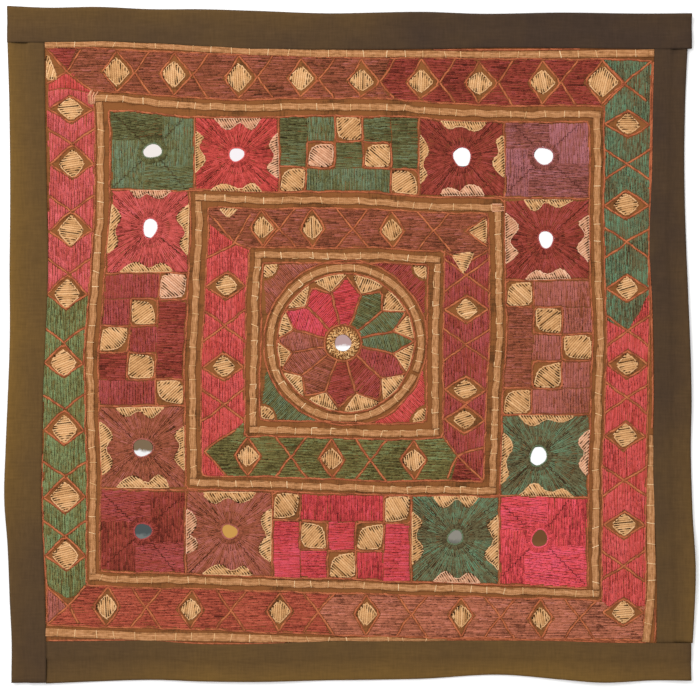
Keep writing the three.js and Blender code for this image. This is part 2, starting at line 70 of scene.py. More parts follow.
def wander(x, y, wave):
    """A smooth value from -1 to 1 that rises and falls over the cloth, about one wave at a time."""
    # Two waves sway each other, at odd rates, so that they don't soon repeat.
    u, v = 2 * math.pi * x / wave, 2 * math.pi * y / wave
    return (np.sin(0.8 * u + 1.3 * np.sin(0.61 * v)) + np.sin(0.9 * v + 1.1 * np.sin(0.53 * u + 0.8))) / 2


def colour_of(code):
    """A colour written as six hexadecimal digits, in the linear values that shaders use."""
    shares = [int(code[i : i + 2], 16) / 255 for i in (0, 2, 4)]
    linear = [s / 12.92 if s <= 0.04045 else ((s + 0.055) / 1.055) ** 2.4 for s in shares]
    return (*linear, 1.0)


def points_of(piece):
    points = np.empty(len(piece.data.vertices) * 3)
    piece.data.vertices.foreach_get("co", points)
    return points.reshape(-1, 3)


def place_points(piece, points):
    piece.data.vertices.foreach_set("co", points.ravel())
    piece.data.update()


def finish_with(piece, kind, **settings):
    """Give a piece a modifier and apply it."""
    modifier = piece.modifiers.new(kind.title(), kind)
    for name, value in settings.items():
        setattr(modifier, name, value)
    bpy.context.view_layer.objects.active = piece
    bpy.ops.object.modifier_apply(modifier=modifier.name)


def new_grid(name, columns, rows):
    """A flat grid of cells to be shaped, one unit wide and long."""
    bpy.ops.object.select_all(action="DESELECT")
    bpy.ops.mesh.primitive_grid_add(x_subdivisions=columns, y_subdivisions=rows, size=1)
    piece = bpy.context.object
    piece.name = name
    bpy.ops.object.shade_smooth()
    return piece


def feed(tree, node, inputs):
    """Link each named input of a node to a socket, or set it to a constant."""
    for name, source in inputs.items():
        if isinstance(source, bpy.types.NodeSocket):
            tree.links.new(source, node.inputs[name])
        else:
            node.inputs[name].default_value = source
    return node


def add_node(tree, kind, inputs=None, **settings):
    """A shader node with its settings and its inputs."""
    node = tree.nodes.new("ShaderNode" + kind)
    for name, value in settings.items():
        setattr(node, name, value)
    return feed(tree, node, inputs or {})


def reckon(tree, operation, *values, clamp=False):
    """The result of some arithmetic on numbers or sockets."""
    inputs = dict(enumerate(values))
    return add_node(tree, "Math", inputs, operation=operation, use_clamp=clamp).outputs[0]


def place_on(tree):
    return add_node(tree, "TexCoord").outputs["Object"]


def noise(tree, place, scale, detail, roughness=0.5):
    inputs = {"Vector": place, "Scale": scale, "Detail": detail, "Roughness": roughness}
    return add_node(tree, "TexNoise", inputs).outputs[0]


def two_tone(tree, value, places, codes):
    """A colour that goes from one code to another while a value goes from one place to another."""
    ramp = add_node(tree, "ValToRGB", {0: value})
    for element, place, code in zip(ramp.color_ramp.elements, places, codes):
        element.position = place
        element.color = colour_of(code)
    return ramp.outputs[0]


def new_group(name, inputs, outputs):
    """A shader node group with named sockets, and its inner ends."""
    tree = bpy.data.node_groups.new(name, "ShaderNodeTree")
    for label, kind, value in inputs:
        tree.interface.new_socket(label, in_out="INPUT", socket_type=kind).default_value = value
    for label, kind in outputs:
        tree.interface.new_socket(label, in_out="OUTPUT", socket_type=kind)
    start = tree.nodes.new("NodeGroupInput")
    end = tree.nodes.new("NodeGroupOutput")
    return tree, start.outputs, end.inputs


def use_group(tree, group, **inputs):
    return add_node(tree, "Group", inputs, node_tree=group)


def new_material(name, roughness):
    material = bpy.data.materials.new(name)
    material.use_nodes = True
    shader = material.node_tree.nodes["Principled BSDF"]
    shader.inputs["Roughness"].default_value = roughness
    return material, material.node_tree, shader


def plain_weave():
    """Over-and-under threads in both directions, with slubs: a height, and a mask of thicker yarn."""
    tree, given, out = new_group(
        "plain_weave",
        [("Pitch", "NodeSocketFloat", WEAVE_PITCH)],
        [("Height", "NodeSocketFloat"), ("Slub", "NodeSocketFloat")],
    )
    place = place_on(tree)
    turns = reckon(tree, "DIVIDE", math.pi, given["Pitch"])
    scaled = add_node(tree, "VectorMath", {0: place, "Scale": turns}, operation="SCALE")
    waves = add_node(tree, "VectorMath", {0: scaled.outputs[0]}, operation="SINE")
    axes = add_node(tree, "SeparateXYZ", {0: waves.outputs[0]})
    crossing = reckon(tree, "MULTIPLY", axes.outputs["X"], axes.outputs["Y"])
    along = add_node(tree, "Mapping", {"Vector": place, "Scale": (*SLUBS, 1)})
    across = add_node(tree, "Mapping", {"Vector": place, "Scale": (*SLUBS[::-1], 1)})
    warp = noise(tree, along.outputs[0], scale=1, detail=2)
    weft = noise(tree, across.outputs[0], scale=1, detail=2)
    slub = reckon(tree, "ADD", warp, weft)
    tree.links.new(reckon(tree, "MULTIPLY_ADD", crossing, CROSSING_SHARE, slub), out["Height"])
    tree.links.new(reckon(tree, "MULTIPLY", slub, 0.5), out["Slub"])
    return tree


PLAIN_WEAVE = plain_weave()


def bumped(tree, shader, height, distance):
    """Give a shader a bump from a height, as deep as a distance."""
    bump = add_node(tree, "Bump", {"Height": height, "Distance": distance, "Strength": 1.0})
    tree.links.new(bump.outputs[0], shader.inputs["Normal"])


def ground_cotton():
    material, tree, shader = new_material("ground_cotton", roughness=0.95)
    weave = use_group(tree, PLAIN_WEAVE, Pitch=WEAVE_PITCH)
    patchy = noise(tree, place_on(tree), scale=55, detail=4)
    tone = reckon(tree, "ADD", weave.outputs["Slub"], patchy)
    colour = two_tone(tree, tone, GROUND_TONES, (GROUND_DARK, GROUND_LIGHT))
    tree.links.new(colour, shader.inputs["Base Color"])
    shader.inputs["Specular IOR Level"].default_value = 0.1
    bumped(tree, shader, weave.outputs["Height"], WEAVE_DEPTH)
    return material


panel_low, panel_high = (np.array(corner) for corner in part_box("panel"))
ground = new_grid("ground_cloth", GROUND_CELLS, GROUND_CELLS)
points = points_of(ground)
ground_size = (panel_high - panel_low)[:2] - 2 * GROUND_TUCK
points[:, :2] = (panel_low + panel_high)[:2] / 2 + points[:, :2] * ground_size
points[:, 2] = GROUND_TOP + PUCKER * wander(points[:, 0], points[:, 1], PUCKER_WAVE)
place_points(ground, points)
finish_with(ground, "SOLIDIFY", thickness=GROUND_THICKNESS, offset=-1)
points = points_of(ground)
below = np.arange(len(points)) >= len(points) // 2
from_edge = np.minimum(points[:, :2] - panel_low[:2], panel_high[:2] - points[:, :2]).min(axis=1)
backed = np.clip((from_edge - BACKING_FROM) / (BACKING_TO - BACKING_FROM), 0, 1)
points[below, 2] *= 1 - backed[below]
place_points(ground, points)
ground.data.materials.append(ground_cotton())
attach(ground, "root")
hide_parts("panel")


# Stem-stitched outlines
# Rust-coloured floss in stem stitch, worked along the lines of the design that is drawn on the ground.
# Each stitch slants and overlaps the one before it, so that the line looks like a thin rope.
SQUARES = {
    "outer_band_outside": ((-182.4, 177), (181.2, 171), (177, -177), (-182.4, -168.6)),
    "outer_band_inside": ((-154.8, 151.8), (152.4, 144), (150.6, -153), (-158.4, -144.6)),
    "wide_braid": ((-151.2, 147.6), (148.2, 138.6), (147, -148.8), (-154.8, -139.5)),
    "patches_outside": ((-145.8, 140.4), (144, 134.4), (142.8, -145.8), (-150, -135.6)),
    "patches_inside": ((-96.6, 93.3), (93, 87.6), (90, -91.2), (-98.7, -86.4)),
    "middle_braid": ((-91.8, 88.2), (88.8, 82.2), (85.8, -87.6), (-94.5, -82.8)),
    "inner_band_outside": ((-86.4, 82.8), (83.4, 78.9), (80.7, -82.2), (-89.4, -78.6)),
    "inner_band_inside": ((-61.8, 58.8), (55.5, 56.4), (55.8, -55.8), (-63, -54.6)),
    "narrow_braid": ((-56.4, 54), (51, 51), (51, -52.2), (-58.5, -50.7)),
    "flower_square": ((-52.8, 49.2), (46.2, 48), (46.2, -46.8), (-54, -45.6)),
}
SIDES = {"top": (0, 1), "right": (1, 2), "bottom": (3, 2), "left": (0, 3)}
LEVEL_SIDES = ("top", "bottom")
HAND_WANDER = 0.5
HAND_WAVE = 42
HAND_SHAKE = 0.46
HAND_SHAKE_WAVE = 11
LINE_STEP = 2.5
STEM_STEP = 2.8
STEM_LENGTH = 4.4
STEM_WIDTH = 1.2
STEM_SLANT = 0.2
STEM_RISE = 0.6
STEM_FULLNESS = (0.9, 1.15)
RING_CENTRE = np.array((-2.7, 1.2))
RING_RADIUS = 45.3
RING_CHANNEL = 3.75
FLOWER_CENTRE = np.array((-4.2, 1.2))
PETAL_BASE = 10.8
PETAL_VALLEY = 31
WEDGE_REACH = 40.8
rng = np.random.default_rng(11)


def rows_of(columns, rows):
    """Rows of a table as records with named columns."""
    return [SimpleNamespace(**dict(zip(columns.split(), row))) for row in rows]


# Diamonds of the two bands, as places along each side: X on level sides and Y on upright ones. The
# crossed lines lie off each diamond by a tie, or else at places of their own. Near and far are the
# half lengths of the outline round a diamond, towards the tie and away from it. Gold is the half size
# of the diamond itself, along the side and across it.
BAND_SIDES = rows_of(
    "band side near far gold_along gold_across diamonds tie crosses",
    [
        ("outer", "top", 11.2, 8.4, 7.2, 7.8, (-140.4, -105.6, -66.6, -29.4, 6.6, 42.6, 77.4, 115.8), 11.2,
         ()),
        ("outer", "top", 13.4, 11, 9.4, 9.8, (151.2,), None, ()),
        ("outer", "left", 12.2, 9, 8.6, 8, (108.6, 68.4, 30.6, -10.8, -51, -91.2, -126.6), 12.2, ()),
        ("outer", "left", 8, 8.4, 6.6, 7.8, (141.6,), None, ()),
        ("outer", "bottom", 8, 8, 6, 7, (-145.8, -95.4, -42.6, 9.6, 66.6, 114.6), None,
         (-122.4, -71.4, -18.6, 37.2, 90, 138)),
        ("outer", "right", 8.6, 8.6, 6.8, 7.2, (132.6, 84, 34.2, -11.4, -54.6, -108, -160.2), None,
         (108, 61.2, 8.4, -31.8, -81.6, -132.6)),
        ("inner", "top", 8, 8, 6.2, 6.8, (-53.4, -22.8, 25.2), None, (-43, 1.2, 49.8)),
        ("inner", "right", 8.6, 8.6, 6.2, 6.8, (21.6, -27, -45), None, (42, 0, -36)),
        ("inner", "bottom", 8, 8, 6.4, 6.8, (-61.2, -10.8, 38.4), None, (-35.4, 12.6)),
        ("inner", "left", 8.6, 8.6, 6.6, 6.8, (35.4, -13.2), None, (11.4, -36)),
    ],
)
CROSS_REACH = {"outer": 9.2, "inner": 9.8}

# Where the needle has drawn the design off its straight lines: the middle of each pull, how far it
# reaches, and how far the design moves aside and up there.
PULLS = rows_of(
    "x y reach_x reach_y aside up",
    [
        (-152, 100, 60, 76, 2.6, 0),
        (-150, -15, 100, 64, -2.6, 0),
        (-188, -85, 34, 68, -2.6, 0),
        (-75, 62, 50, 40, 1.8, 0),
        (-75, 146, 72, 38, 0, -2.8),
        (20, 163, 85, 17, 0, -2.8),
        (90, 148, 72, 40, 0, -2.1),
        (148, -2, 48, 75, 2.1, 0),
        (88, 12, 38, 70, 2, 0),
        (52, 48, 24, 24, 1.5, 0),
        (0, 86, 52, 24, 0, 1.5),
        (8, 52, 34, 20, 0, 1.2),
        (15, -68, 48, 48, 0, -1.2),
        (30, -177, 170, 14, 0, -1.8),
        (-165, 180, 62, 22, 0, 1.8),
        (-20, 174, 66, 12, 0, -1.2),
    ],
)

# Lines across the corners of the two bands.
CORNER_LINES = {
    "outer": [
        ((-182, 176.5), (-170, 163.5), (-155, 152)),
        ((-161, 175.5), (-170, 163.5), (-183, 156.6)),
        ((181, 171), (164.6, 156.6), (152.6, 144.4)),
        ((151.2, 170.5), (164.6, 156.6), (178.8, 146)),
        ((-181.5, -168), (-169, -156), (-158.6, -145)),
        ((-162, -167), (-169, -156), (-182.4, -145)),
    ],
    "inner": [
        ((-85.5, 78), (-71.4, 61.2), (-61.8, 58)),
        ((-60, 79), (-72.6, 60), (-87, 52)),
        ((-69, -50.5), (-87.6, -63.4), (-74.6, -78.4)),
        ((82, 57), (70, 49), (56, 55)),
        ((81.1, 76.1), (68.7, 68.5), (81.8, 59)),
        ((55.8, -55), (64.4, -66), (80.5, -81.5)),
        ((58, -81), (64.4, -66), (81, -61)),
    ],
}

# Patches between the wide and middle braids, clockwise from the top left: where each strip of patches
# is cut, as shares of its length, and what is worked on each patch, in which colour of floss, which way
# the threads run that catch the light, and how much lighter the floss is than its dye.
PATCH_CUTS = {
    "top": (0, 0.181, 0.356, 0.646, 0.824, 1),
    "right": (0, 0.272, 0.725, 1),
    "bottom": (0, 0.176, 0.353, 0.638, 0.818, 1),
    "left": (0, 0.278, 0.724, 1),
}
PATCHES = rows_of(
    "name strip number work dye lit lighter",
    [
        ("top_left", "top", 0, "plain", "green", "upright", 0),
        ("top_second", "top", 1, "star", "red", "upright", -0.11),
        ("top_middle", "top", 2, "chevron", "green", "upright", 0),
        ("top_fourth", "top", 3, "star", "maroon", "upright", -0.15),
        ("top_right", "top", 4, "plain", "mauve", "upright", 0.1),
        ("right_second", "right", 0, "star", "maroon", "upright", -0.09),
        ("right_middle", "right", 1, "chevron", "plum", "upright", 0.06),
        ("right_fourth", "right", 2, "star", "emerald", "upright", 0.02),
        ("bottom_right", "bottom", 4, "plain", "pink", "level", -0.02),
        ("bottom_fourth", "bottom", 3, "star", "emerald", "upright", 0.02),
        ("bottom_middle", "bottom", 2, "chevron", "crimson", "level", 0),
        ("bottom_second", "bottom", 1, "star", "plum", "upright", 0.03),
        ("bottom_left", "bottom", 0, "plain", "maroon", "level", -0.05),
        ("left_fourth", "left", 2, "star", "plum", "upright", -0.05),
        ("left_middle", "left", 1, "chevron", "maroon", "upright", 0),
        ("left_second", "left", 0, "star", "rose", "upright", -0.09),
    ],
)
BLOCK_COLUMNS = 5
BLOCK_ROWS = 3
GOLD_BLOCKS = ((0, 2), (1, 1), (2, 0), (3, 1), (4, 2))

# Petals of the flower, clockwise from the top: the turn of each, how far it reaches, and its colour.
PETALS = rows_of(
    "turn reach dye",
    [
        (4, 39.7, "crimson"),
        (37, 38.8, "green"),
        (65, 42.4, "green"),
        (88, 42.8, "green"),
        (116, 43.2, "maroon"),
        (148, 40.8, "maroon"),
        (184, 39.2, "maroon"),
        (216, 39.2, "plum"),
        (247, 39.6, "plum"),
        (272, 40.8, "plum"),
        (299, 40.6, "crimson"),
        (330, 38.4, "crimson"),
    ],
)


def mix(a, b, share):
    return np.asarray(a) + (np.asarray(b) - np.asarray(a)) * share


def in_quad(quad, along, inward):
    """A point of a four-cornered shape, by its shares along the outer side and inwards."""
    return mix(mix(quad[0], quad[1], along), mix(quad[3], quad[2], along), inward)


def drawn_in(quad, distance, end_distance=None):
    """A four-cornered shape drawn in by a distance, or by another one at its two ends."""
    ends = distance if end_distance is None else end_distance
    along = ends / np.linalg.norm(np.subtract(quad[1], quad[0]))
    inward = distance / np.linalg.norm(np.subtract(quad[3], quad[0]))
    corners = ((along, inward), (1 - along, inward), (1 - along, 1 - inward), (along, 1 - inward))
    return [in_quad(quad, s, t) for s, t in corners]


def by_hand(points):
    """Points of the design as they are on the cloth, pulled here and there, and wandering a little."""
    x, y = points[:, 0], points[:, 1]
    aside = HAND_WANDER * wander(y, x, HAND_WAVE) + HAND_SHAKE * wander(y, x, HAND_SHAKE_WAVE)
    up = HAND_WANDER * wander(x + y, y, HAND_WAVE) + HAND_SHAKE * wander(x, y, HAND_SHAKE_WAVE)
    for pull in PULLS:
        away = ((x - pull.x) / pull.reach_x) ** 2 + ((y - pull.y) / pull.reach_y) ** 2
        weight = np.maximum(0, 1 - away) ** 2
        aside += pull.aside * weight
        up += pull.up * weight
    return points + np.column_stack((aside, up))


def stepped(corners, closed=False):
    """A line through corners, with a point every few millimetres."""
    corners = [np.asarray(corner, float) for corner in corners]
    ends = corners[1:] + corners[:1] if closed else corners[1:]
    stretches = []
    for start, end in zip(corners, ends):
        steps = max(1, math.ceil(np.linalg.norm(end - start) / LINE_STEP))
        stretches.append(mix(start, end, np.arange(steps)[:, None] / steps))
    if not closed:
        stretches.append(corners[-1][None])
    return np.concatenate(stretches)


def drawn(corners, closed=False):
    """A line through corners as it is drawn by hand."""
    return by_hand(stepped(corners, closed))


def turned(centre, radius, degrees):
    """A point at a radius from a centre, turned clockwise from the top."""
    angle = math.radians(degrees)
    return np.array((centre[0] + radius * math.sin(angle), centre[1] + radius * math.cos(angle)))


def band_side(band, side):
    """One side of a band of diamonds, mitred at its corners, from its outer edge inwards."""
    start, end = SIDES[side]
    outside, inside = SQUARES[band + "_band_outside"], SQUARES[band + "_band_inside"]
    return outside[start], outside[end], inside[end], inside[start]


def on_side(row, along, depth):
    """A point of one side of a band, by its place along the side and its share of the way inwards."""
    quad = band_side(row.band, row.side)
    start, end = mix(quad[0], quad[3], depth), mix(quad[1], quad[2], depth)
    axis = 0 if row.side in LEVEL_SIDES else 1
    return mix(start, end, (along - start[axis]) / (end[axis] - start[axis]))


def patch_strip(strip):
    """One of the four strips of patches: the top and bottom ones take the corners."""
    outside, inside = SQUARES["patches_outside"], SQUARES["patches_inside"]
    ends = [(outside[i][0], inside[i][1]) for i in range(4)]
    return {
        "top": (outside[0], outside[1], ends[1], ends[0]),
        "right": (ends[1], ends[2], inside[2], inside[1]),
        "bottom": (outside[3], outside[2], ends[2], ends[3]),
        "left": (ends[0], ends[3], inside[3], inside[0]),
    }[strip]


def patch_quad(patch):
    start, end = PATCH_CUTS[patch.strip][patch.number : patch.number + 2]
    return [in_quad(patch_strip(patch.strip), s, t) for s, t in ((start, 0), (end, 0), (end, 1), (start, 1))]


def block_quad(patch, column, row):
    """One block of a chevron patch."""
    quad = patch_quad(patch)
    corners = ((column, row), (column + 1, row), (column + 1, row + 1), (column, row + 1))
    return [in_quad(quad, s / BLOCK_COLUMNS, t / BLOCK_ROWS) for s, t in corners]


def petal_valley(number):
    """The point between a petal and the next one, where the two part."""
    turn = PETALS[number % len(PETALS)].turn
    after = PETALS[(number + 1) % len(PETALS)].turn
    between = turn + ((after - turn) % 360) / 2
    return turned(FLOWER_CENTRE, PETAL_BASE, between), turned(FLOWER_CENTRE, PETAL_VALLEY, between)


def ring_line(centre, radius):
    """A circle round a centre as a line that ends where it starts."""
    steps = math.ceil(2 * math.pi * radius / LINE_STEP)
    return by_hand(np.array([turned(centre, radius, turn) for turn in np.linspace(0, 360, steps + 1)]))


DIAMOND_INSET = 0.03  # of a band's width, from its edges to the points of a diamond's outline
CORNER_EDGE = 0.2  # of a level strip's inner side, at both ends, that has a line along it
diamond_outlines = {"outer": [], "inner": []}
band_lines = {"outer": [], "inner": []}
for row in BAND_SIDES:
    for place in row.diamonds:
        far, near = on_side(row, place - row.far, 0.5), on_side(row, place + row.near, 0.5)
        outer, inner = on_side(row, place, DIAMOND_INSET), on_side(row, place, 1 - DIAMOND_INSET)
        corners = [far, outer, near, inner]
        diamond_outlines[row.band].append(drawn(corners, closed=True))
        band_lines[row.band].append(drawn([outer, far, inner]))
        band_lines[row.band].append(drawn([outer, near, inner]))
    reach = CROSS_REACH[row.band]
    for place in row.crosses:
        band_lines[row.band].append(drawn([on_side(row, place - reach, 0), on_side(row, place + reach, 1)]))
        band_lines[row.band].append(drawn([on_side(row, place - reach, 1), on_side(row, place + reach, 0)]))
    for place in row.diamonds if row.tie else ():
        cross = on_side(row, place + row.tie, 0.5)
        band_lines[row.band].append(drawn([cross, on_side(row, place + row.tie + reach, 0)]))
        band_lines[row.band].append(drawn([cross, on_side(row, place + row.tie + reach, 1)]))
for band, lines in CORNER_LINES.items():
    band_lines[band].extend(drawn(line) for line in lines)

LEFT_LINE_SHARE = 0.3  # of the cloth's left edge, from below, that has a line beside it
edge_lines = []
for name, (top_left, top_right, bottom_right, bottom_left) in SQUARES.items():
    up_left = LEFT_LINE_SHARE if name == "outer_band_outside" else 1
    if not name.endswith("braid"):
        left_end = mix(bottom_left, top_left, up_left)
        edge_lines.append(drawn([top_left, top_right, bottom_right, bottom_left, left_end]))
patch_lines = []
for strip, cuts in PATCH_CUTS.items():
    for share in cuts[1:-1]:
        patch_lines.append(drawn([in_quad(patch_strip(strip), share, depth) for depth in (0, 1)]))
for strip in LEVEL_SIDES:
    quad = patch_strip(strip)
    patch_lines.append(drawn([quad[3], in_quad(quad, CORNER_EDGE, 1)]))
    patch_lines.append(drawn([in_quad(quad, 1 - CORNER_EDGE, 1), quad[2]]))
block_lines = []
for patch in PATCHES:
    for column, row in GOLD_BLOCKS if patch.work == "chevron" else ():
        corners = block_quad(patch, column, row)
        block_lines.append(drawn(corners + corners[:1]))
petal_lines = []
for number, petal in enumerate(PETALS):
    base, valley = petal_valley(number)
    before = petal_valley(number - 1)[1]
    petal_lines.append(drawn([base, valley]))
    petal_lines.append(drawn([before, turned(FLOWER_CENTRE, petal.reach, petal.turn), valley]))
petal_lines.append(ring_line(FLOWER_CENTRE, PETAL_BASE))
ring_lines = [ring_line(RING_CENTRE, RING_RADIUS + side * RING_CHANNEL) for side in (-1, 1)]

# Lines that show beside the seam of the border, as they lie on the cloth.
SEAM_LINES = (
    ((50, 177), (78, 177.1), (100, 177.1), (126, 177.4), (138, 177.6)),
    ((-181, -177.4), (-150, -177.2), (-128, -176.9), (-110, -178), (-90, -179.2), (-60, -179.3),
     (-38, -178.8)),
    ((182, 170), (181.4, 140), (180.8, 100), (179.2, 57), (180.9, 27), (181.8, -33), (181.2, -50)),
    ((44, -177.1), (93, -177), (126, -177.4), (150, -178.2), (178, -178.6)),
    ((182.8, -158), (183.5, -170), (182.6, -178.2)),
)
edge_lines.extend(stepped(line) for line in SEAM_LINES)


def along_line(line):
    """The length of a line, and functions for its points and its sideways directions."""
    place = np.concatenate(([0], np.cumsum(np.linalg.norm(np.diff(line, axis=0), axis=1))))
    way = np.gradient(line, place, axis=0)

    def point(distance):
        return np.column_stack([np.interp(distance, place, line[:, i]) for i in (0, 1)])

    def aside(distance):
        dx, dy = (np.interp(distance, place, way[:, i]) for i in (0, 1))
        return np.column_stack((-dy, dx)) / np.hypot(dx, dy)[:, None]

    return place[-1], point, aside


def stitch_rows(start, end, width, low, rise, shade, fall=0.0):
    """Stitches as rows of numbers: two ends, width, underside, rise, shade, and fall along the stitch."""
    columns = (start[:, 0], start[:, 1], end[:, 0], end[:, 1], width, low, rise, shade, fall)
    return np.column_stack(np.broadcast_arrays(*columns))


STITCH_SINK = 0.15  # the ends of a stitch go down through the ground by this
STITCH_ROOT = GROUND_TOP / MM - STITCH_SINK


def about(size, spread, count=None):
    """Sizes that differ from one by up to a share of it."""
    return size * rng.uniform(1 - spread, 1 + spread, count)


def stem_stitch(line, width=STEM_WIDTH, rise=STEM_RISE, shades=(0.2, 0.8)):
    """Slanted stitches that overlap along a line."""
    length, point, aside = along_line(line)
    start = np.arange(0, length - STEM_STEP / 2, STEM_STEP)
    count = len(start)
    end = np.minimum(start + about(STEM_LENGTH, 0.08, count), length)
    slant = about(STEM_SLANT, 0.4, (count, 1))
    return stitch_rows(
        point(start) + aside(start) * slant,
        point(end) - aside(end) * slant,
        about(width, 0.15, count),
        STITCH_ROOT,
        rise * rng.uniform(*STEM_FULLNESS, count) + STITCH_SINK,
        rng.uniform(*shades, count),
    )


# A strand is closed, flat below and round above, and tapers to a point at both ends. Rings are shares of
# its length with its fullness there, and the section goes from one side to the other. A sliver is the
# plainest strand, for thin dark threads, and for the painted shade in thin gaps between stitches.
STRAND_RINGS = ((0.07, 0.92), (0.93, 0.92))
STRAND_SECTION = ((-1, 0), (-0.72, 0.7), (0, 1), (0.72, 0.7), (1, 0))
SLIVER_RINGS = ((0.5, 1),)
SLIVER_SECTION = ((-1, 0), (0, 1), (1, 0))
FLOSS_TWIST = 1.1 * MM
FLOSS_DEPTH = 0.05 * MM
FLOSS_MOTTLE = 1.1  # from its dullest spots to its lightest


def strand_faces(rings, sides):
    """Triangles of one strand, by the numbers of its points: the rings first, then its two tips."""
    faces = []
    first_tip, last_tip = rings * sides, rings * sides + 1
    last_ring = (rings - 1) * sides
    for i in range(sides):
        after = (i + 1) % sides
        for ring in range(0, last_ring, sides):
            beyond = ring + sides
            faces.append((ring + i, beyond + i, beyond + after))
            faces.append((ring + i, beyond + after, ring + after))
        faces.append((first_tip, i, after))
        faces.append((last_tip, last_ring + after, last_ring + i))
    return np.array(faces)


def new_mesh_piece(name, points, faces, material):
    """A piece made from an array of points and an array of triangles."""
    mesh = bpy.data.meshes.new(name)
    mesh.vertices.add(len(points))
    mesh.vertices.foreach_set("co", points.ravel())
    mesh.loops.add(faces.size)
    mesh.loops.foreach_set("vertex_index", faces.ravel())
    mesh.polygons.add(len(faces))
    mesh.polygons.foreach_set("loop_start", np.arange(0, faces.size, 3))
    mesh.update(calc_edges=True)
    mesh.shade_smooth()
    mesh.materials.append(material)
    piece = bpy.data.objects.new(name, mesh)
    bpy.context.collection.objects.link(piece)
    return piece


def write_lay(piece, faces, along, around, shade):
    """Keep how each thread lies: a UV map of its length and its girth, and its shade."""
    shades = piece.data.attributes.new("shade", "FLOAT", "POINT")
    shades.data.foreach_set("value", shade)
    lay = piece.data.uv_layers.new(name="lay")
    corners = faces.ravel()
    lay.data.foreach_set("uv", np.column_stack((along[corners], around[corners])).ravel())


def sew(name, rows, material, rings=STRAND_RINGS, section=STRAND_SECTION):
    """All stitches of one thread as one piece."""
    rows = np.concatenate(rows)
    start, end = rows[:, 0:2] * MM, rows[:, 2:4] * MM
    half, low, rise, fall = rows[:, 4] / 2 * MM, *(rows[:, [5, 6, 8]] * MM).T
    run = end - start
    length = np.maximum(np.linalg.norm(run, axis=1), 1e-6)
    aside = np.column_stack((-run[:, 1], run[:, 0])) / length[:, None]
    sides = len(section)
    count = len(rings) * sides + 2
    points = np.empty((len(rows), count, 3))
    along = np.empty((len(rows), count))
    around = np.tile(np.append(np.tile(np.arange(sides), len(rings)), (0, 0)), len(rows))
    for ring, (share, full) in enumerate(rings):
        for i, (out, up) in enumerate(section):
            number = ring * sides + i
            points[:, number, :2] = start + run * share + aside * (out * full * half)[:, None]
            points[:, number, 2] = low - share * fall + up * full * rise
            along[:, number] = share * length
    for number, tip, share in ((count - 2, start, 0), (count - 1, end, 1)):
        points[:, number, :2] = tip
        points[:, number, 2] = low - share * fall
        along[:, number] = share * length
    firsts = np.arange(len(rows))[:, None, None] * count
    faces = (strand_faces(len(rings), sides)[None] + firsts).reshape(-1, 3)
    piece = new_mesh_piece(name, points.reshape(-1, 3), faces, material)
    write_lay(piece, faces, along.ravel(), around / sides, np.repeat(rows[:, 7], count))
    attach(piece, "root")
    return piece


def rescale(tree, value, from_low, from_high, to_low, to_high):
    inputs = dict(enumerate((value, from_low, from_high, to_low, to_high)))
    return add_node(tree, "MapRange", inputs).outputs[0]


def blend(tree, share, start, end):
    """A colour that is a share of the way from one to another."""
    inputs = {"Factor": share, "A": start, "B": end}
    return add_node(tree, "Mix", inputs, data_type="RGBA").outputs["Result"]


def floss_lay():
    """Twisted floss: its colour, from dull through its body's to lit, which paints its shade and sheen as
    well as its uneven tone, and the height of its twist.
    """
    tree, given, out = new_group(
        "floss_lay",
        [
            ("Dull", "NodeSocketColor", (0, 0, 0, 1)),
            ("Body", "NodeSocketColor", (0.5, 0.5, 0.5, 1)),
            ("Lit", "NodeSocketColor", (1, 1, 1, 1)),
            ("Twist", "NodeSocketFloat", FLOSS_TWIST),
        ],
        [("Color", "NodeSocketColor"), ("Height", "NodeSocketFloat")],
    )
    shade = add_node(tree, "Attribute", attribute_name="shade").outputs["Fac"]
    mottle = noise(tree, place_on(tree), scale=420, detail=5, roughness=0.8)
    spread = reckon(tree, "MULTIPLY_ADD", mottle, FLOSS_MOTTLE, -FLOSS_MOTTLE / 2)
    tone = reckon(tree, "ADD", shade, spread, clamp=True)
    body = blend(tree, rescale(tree, tone, 0, 0.5, 0, 1), given["Dull"], given["Body"])
    colour = blend(tree, rescale(tree, tone, 0.5, 1, 0, 1), body, given["Lit"])
    lay = add_node(tree, "SeparateXYZ", {0: add_node(tree, "UVMap", uv_map="lay").outputs[0]})
    turns = reckon(tree, "DIVIDE", lay.outputs["X"], given["Twist"])
    ply = reckon(tree, "ADD", turns, lay.outputs["Y"])
    wave = reckon(tree, "SINE", reckon(tree, "MULTIPLY", ply, 2 * math.pi))
    tree.links.new(colour, out["Color"])
    tree.links.new(wave, out["Height"])
    return tree


FLOSS_LAY = floss_lay()


def floss(name, dull, body, lit, roughness=0.65, sheen=0.03):
    """Cotton or silk floss of one dye lot, with its painted shade and sheen."""
    material, tree, shader = new_material(name, roughness)
    lay = use_group(tree, FLOSS_LAY, Dull=colour_of(dull), Body=colour_of(body), Lit=colour_of(lit))
    tree.links.new(lay.outputs["Color"], shader.inputs["Base Color"])
    shader.inputs["Sheen Weight"].default_value = sheen
    shader.inputs["Sheen Roughness"].default_value = 0.4
    shader.inputs["Specular IOR Level"].default_value = 0.1
    bumped(tree, shader, lay.outputs["Height"], FLOSS_DEPTH)
    return material


frame_outlines = edge_lines + patch_lines + block_lines + petal_lines + ring_lines
band_outlines = band_lines["outer"] + band_lines["inner"]
frame_stems = [stem_stitch(line) for line in frame_outlines]
band_stems = [stem_stitch(line) for line in band_outlines]
stem_pieces = [
    sew("stem_frames", frame_stems, floss("rust_floss", "683620", "9e5636", "b86a46")),
    sew("stem_crosses", band_stems, floss("brown_floss", "6c3420", "a65a38", "bc7048")),
]
